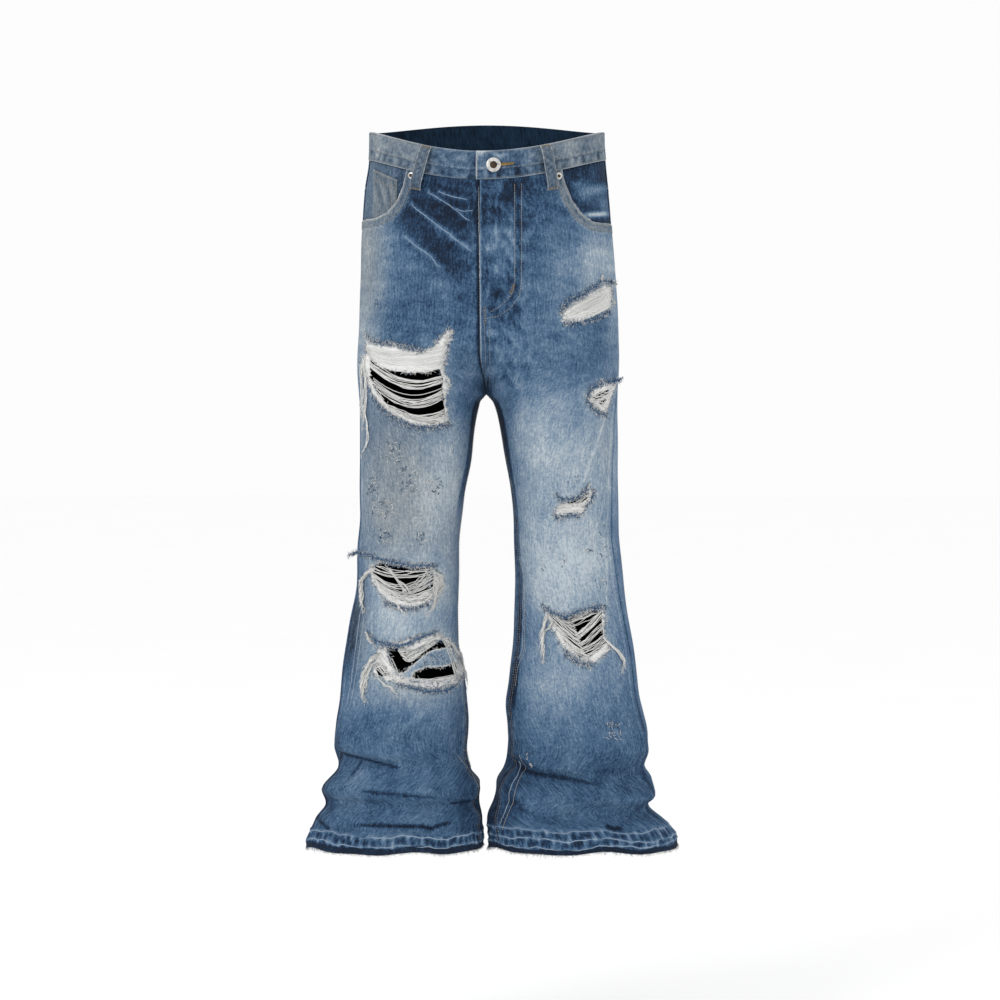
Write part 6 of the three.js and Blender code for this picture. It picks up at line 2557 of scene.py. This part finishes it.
    def loops(self, loops: Iterable[BeltLoop]) -> None:
        """Sew the belt loops' rows and the bars at their ends."""
        for loop in loops:
            t = np.linspace(0.03, 0.97, 60)
            for side in (-0.62, 0.62):
                across = np.full(t.shape, side)
                base, lifted = (loop.place(across, t, out) for out in (0.15, 1.15))
                self.needle.sew(base, lifted, 0.5, 0.3)
            for end in (0.02, 0.975):
                for shift in (-0.008, 0.0, 0.008):
                    across = np.linspace(-0.9, 0.9, 12)
                    down = np.full(across.shape, end + shift)
                    base, lifted = (loop.place(across, down, out) for out in (0.35, 1.35))
                    self.bar.sew(base, lifted, 0.35, 0.0, 0.9)

    def buttonhole(self) -> None:
        """Sew the buttonhole's close gold stitches."""
        left = LEGS[Side.LEFT]
        x = np.linspace(17.5, 35.5, 26)
        width = 1.9 - 0.05 * (x - 17.5)
        for sign in (-1.0, 1.0):
            z = np.stack([np.zeros(x.shape) + sign * 0.25, sign * width * 0.6, sign * width], 1)
            across = np.repeat(x[:, None], 3, 1)
            angle = Form.angle_at(left, z, across)
            out = BAND_OUT + np.array([0.5, 0.9, 0.35])
            tone = np.clip(self.rng.normal(0.6, 0.15, len(x)), 0, 1)
            self.gold.add(Form.place(left, z, angle, out), 0.4, tone)

    def hems(self) -> None:
        """Fringe both raw hems with short white fibres, all the way round."""
        rng = self.rng
        for side, leg in LEGS.items():
            count = 1400
            angle = rng.uniform(-np.pi, np.pi, count)
            start = HEM_Z + hem_wave(np.full(count, HEM_Z), angle, leg.sign) + rng.uniform(-0.4, 1.0, count)
            length = np.abs(rng.normal(1.5, 1.1, count)) + 0.8
            long = rng.random(count) < 0.03
            length = np.where(long, length + rng.uniform(3, 7, count), length)
            t = np.linspace(0, 1, 4)[None, :]
            drift = rng.normal(0, 0.02, count)[:, None] * t + rng.normal(0, 0.006, (count, 1)) * t**2
            z = start[:, None] - length[:, None] * t
            z = np.where(z < HEM_Z - 7, HEM_Z - 7, z)
            out = -0.9 + rng.normal(0.2, 0.5, (count, 1)) + rng.normal(0, 0.9, (count, 1)) * t
            paths = Form.place(leg, np.broadcast_to(z, drift.shape), angle[:, None] + drift, out)
            paths[..., 2] = z
            tone = rng.uniform(0.75, 1.0, count)
            blue = (rng.random(count) < 0.16).astype(float)
            self.fringe[side].add(paths, 0.27 * np.array([1.0, 1.0, 0.8, 0.4]), tone, blue)

    def build(self, finishes: Finishes) -> list[bpy.types.Object]:
        """Sew everything and return the joined pieces."""
        self.fly()
        self.scoops()
        self.seams()
        self.band()
        self.pockets([BackPocket(side) for side in Side])
        self.loops(LOOPS)
        self.buttonhole()
        self.hems()
        made = [self.tan.build(finishes.topstitch), self.gold.build(finishes.gold)]
        made += [strands.build(finishes.thread) for strands in self.fringe.values()]
        for piece in made:
            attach(piece, "root")
            LOG.info("%s: %d faces", piece.name, len(piece.data.polygons))
        return made


# ------------------------------------------------------------------ metal
@dataclass
class Stud:
    """A round metal piece pressed onto the front: the waist button or a rivet."""

    name: str
    node: str
    slot: str
    leg: Leg
    x: float
    z: float
    out: float
    radius: float
    thick: float
    steps: tuple[tuple[float, float], ...]
    hollow_radius: float
    bevel: float = 0.25

    def pick_face(self) -> None:
        """Select only the face at the top, which points up."""
        bpy.ops.mesh.select_all(action="DESELECT")
        mesh = bmesh.from_edit_mesh(bpy.context.edit_object.data)
        mesh.faces.ensure_lookup_table()
        up = [face for face in mesh.faces if face.normal.z > 0.95 and len(face.verts) > 8]
        best = min(up, key=lambda face: face.calc_area())
        best.select_set(True)
        bmesh.update_edit_mesh(bpy.context.edit_object.data)

    def build(self, finishes: Finishes) -> bpy.types.Object:
        """Turn the piece, set it on the cloth and return it."""
        bpy.ops.object.select_all(action="DESELECT")
        bpy.ops.mesh.primitive_cylinder_add(
            vertices=48, radius=self.radius * MM, depth=self.thick * MM, location=(0, 0, self.thick * MM / 2)
        )
        piece = bpy.context.active_object
        piece.name = self.name
        bpy.ops.object.mode_set(mode="EDIT")
        for inset, rise in self.steps:
            self.pick_face()
            bpy.ops.mesh.inset(thickness=inset * MM, depth=rise * MM)
        bpy.ops.mesh.select_all(action="DESELECT")
        bpy.ops.object.mode_set(mode="OBJECT")
        bevel = piece.modifiers.new("edge", "BEVEL")
        bevel.width = self.bevel * MM
        bevel.segments = 3
        bevel.limit_method = "ANGLE"
        bevel.angle_limit = math.radians(35)
        bpy.ops.object.modifier_apply(modifier=bevel.name)
        for finish in (finishes.steel, finishes.hollow):
            piece.data.materials.append(finish)
        for face in piece.data.polygons:
            centre = face.center
            deep = centre.z < (self.thick + self.steps[0][1]) * MM - 0.35 * MM
            within = math.hypot(centre.x, centre.y) < self.hollow_radius * MM
            face.material_index = 1 if deep and within and centre.z > 0.2 * MM else 0
        angle = Form.angle_at(self.leg, np.array(self.z), np.array(self.x))
        foot = Form.place(self.leg, np.array(self.z), angle, self.out)
        tip = Form.place(self.leg, np.array(self.z), angle, self.out + 1)
        piece.location = Vector(foot * MM)
        piece.rotation_euler = Vector(tip - foot).to_track_quat("Z", "Y").to_euler()
        bpy.ops.object.transform_apply(location=True, rotation=True, scale=True)
        bpy.ops.object.shade_smooth_by_angle(angle=math.radians(40))
        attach(piece, "root")
        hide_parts(self.node)
        LOG.info("%s: %d faces", piece.name, len(piece.data.polygons))
        return piece


STUDS = (
    Stud(
        "waist_button_ring", "waist_button", "button_steel", LEGS[Side.LEFT], 9.0, 0.0, 1.3, 9.6, 1.7,
        ((1.3, 0.7), (3.3, -0.1), (0.5, -1.1), (1.3, 0.25), (0.8, 0.5)), 4.7, 0.3,
    ),
    Stud(
        "rivet_right_cap", "rivet_right", "rivet_metal", LEGS[Side.RIGHT], -100.0, -25.4, 0.9, 4.5, 0.7,
        ((0.8, 0.5), (1.3, 0.2), (0.4, -0.6), (0.6, 0.1)), 2.2, 0.15,
    ),
    Stud(
        "rivet_left_cap", "rivet_left", "rivet_metal", LEGS[Side.LEFT], 95.5, -26.5, 0.9, 4.5, 0.7,
        ((0.8, 0.5), (1.3, 0.2), (0.4, -0.6), (0.6, 0.1)), 2.2, 0.15,
    ),
)


# ------------------------------------------------------------------ studio
@dataclass
class Studio:
    """The pale floor, the soft light and the camera."""

    floor_z: float = -1.25
    floor_half: float = 14.0
    camera_at: tuple[float, float, float] = (0.01768, -4.0, -0.250)
    camera_tilt: float = 3.2623
    lens: float = 106.05
    sky: float = 0.98

    def build(self) -> None:
        """Make the studio."""
        bpy.ops.object.select_all(action="DESELECT")
        bpy.ops.mesh.primitive_plane_add(size=2 * self.floor_half, location=(0, 0, self.floor_z))
        floor = bpy.context.active_object
        floor.name = "studio_ground"
        floor.data.materials.append(Ground().make())
        world = bpy.data.worlds.new("soft_daylight")
        world.use_nodes = True
        back = world.node_tree.nodes["Background"]
        back.inputs["Color"].default_value = (self.sky, self.sky, self.sky, 1)
        back.inputs["Strength"].default_value = 1.0
        bpy.context.scene.world = world
        for name, place, power, size in (
            ("key_softbox", (-2.3, -2.7, 1.5), 42.0, 1.5), ("side_softbox", (2.8, -1.4, 0.4), 8.0, 1.4),
        ):
            light = bpy.data.lights.new(name, "AREA")
            light.energy = power
            light.size = size
            lamp = bpy.data.objects.new(name, light)
            lamp.location = place
            lamp.rotation_euler = (Vector((0, 0, -0.45)) - Vector(place)).to_track_quat("-Z", "Y").to_euler()
            bpy.context.scene.collection.objects.link(lamp)
        lens = bpy.data.cameras.new("front_view")
        lens.lens = self.lens
        lens.sensor_width = 36.0
        camera = bpy.data.objects.new("front_view", lens)
        camera.location = self.camera_at
        camera.rotation_euler = (math.radians(90 - self.camera_tilt), 0, 0)
        bpy.context.scene.collection.objects.link(camera)
        bpy.context.scene.camera = camera
        bpy.context.scene.view_settings.view_transform = "Standard"


def main() -> None:
    """Build the garment piece by piece, then the studio."""
    logging.basicConfig(level=logging.INFO, format="%(name)s: %(message)s")
    finishes = Finishes()
    fray = Fray()
    fray.sew()
    FrontPanel(Side.RIGHT, RIGHT_SCOOP, fray).build(finishes)
    FrontPanel(Side.LEFT, LEFT_SCOOP, fray).build(finishes)
    for side in Side:
        BackPanel(side).build(finishes)
        BackYoke(side).build(finishes)
        BackPocket(side).build(finishes)
    PocketFacing(Side.RIGHT, -94, -4.6).build(finishes)
    PocketFacing(Side.LEFT, 88, -2.5).build(finishes)
    CoinPocket().build(finishes)
    FlyShield().build(finishes)
    Waistband().build(finishes)
    for loop in LOOPS:
        loop.build(finishes)
    Ridges().build(finishes)
    Sewing().build(finishes)
    for stud in STUDS:
        stud.build(finishes)
    Studio().build()


if __name__ == "__main__":
    main()
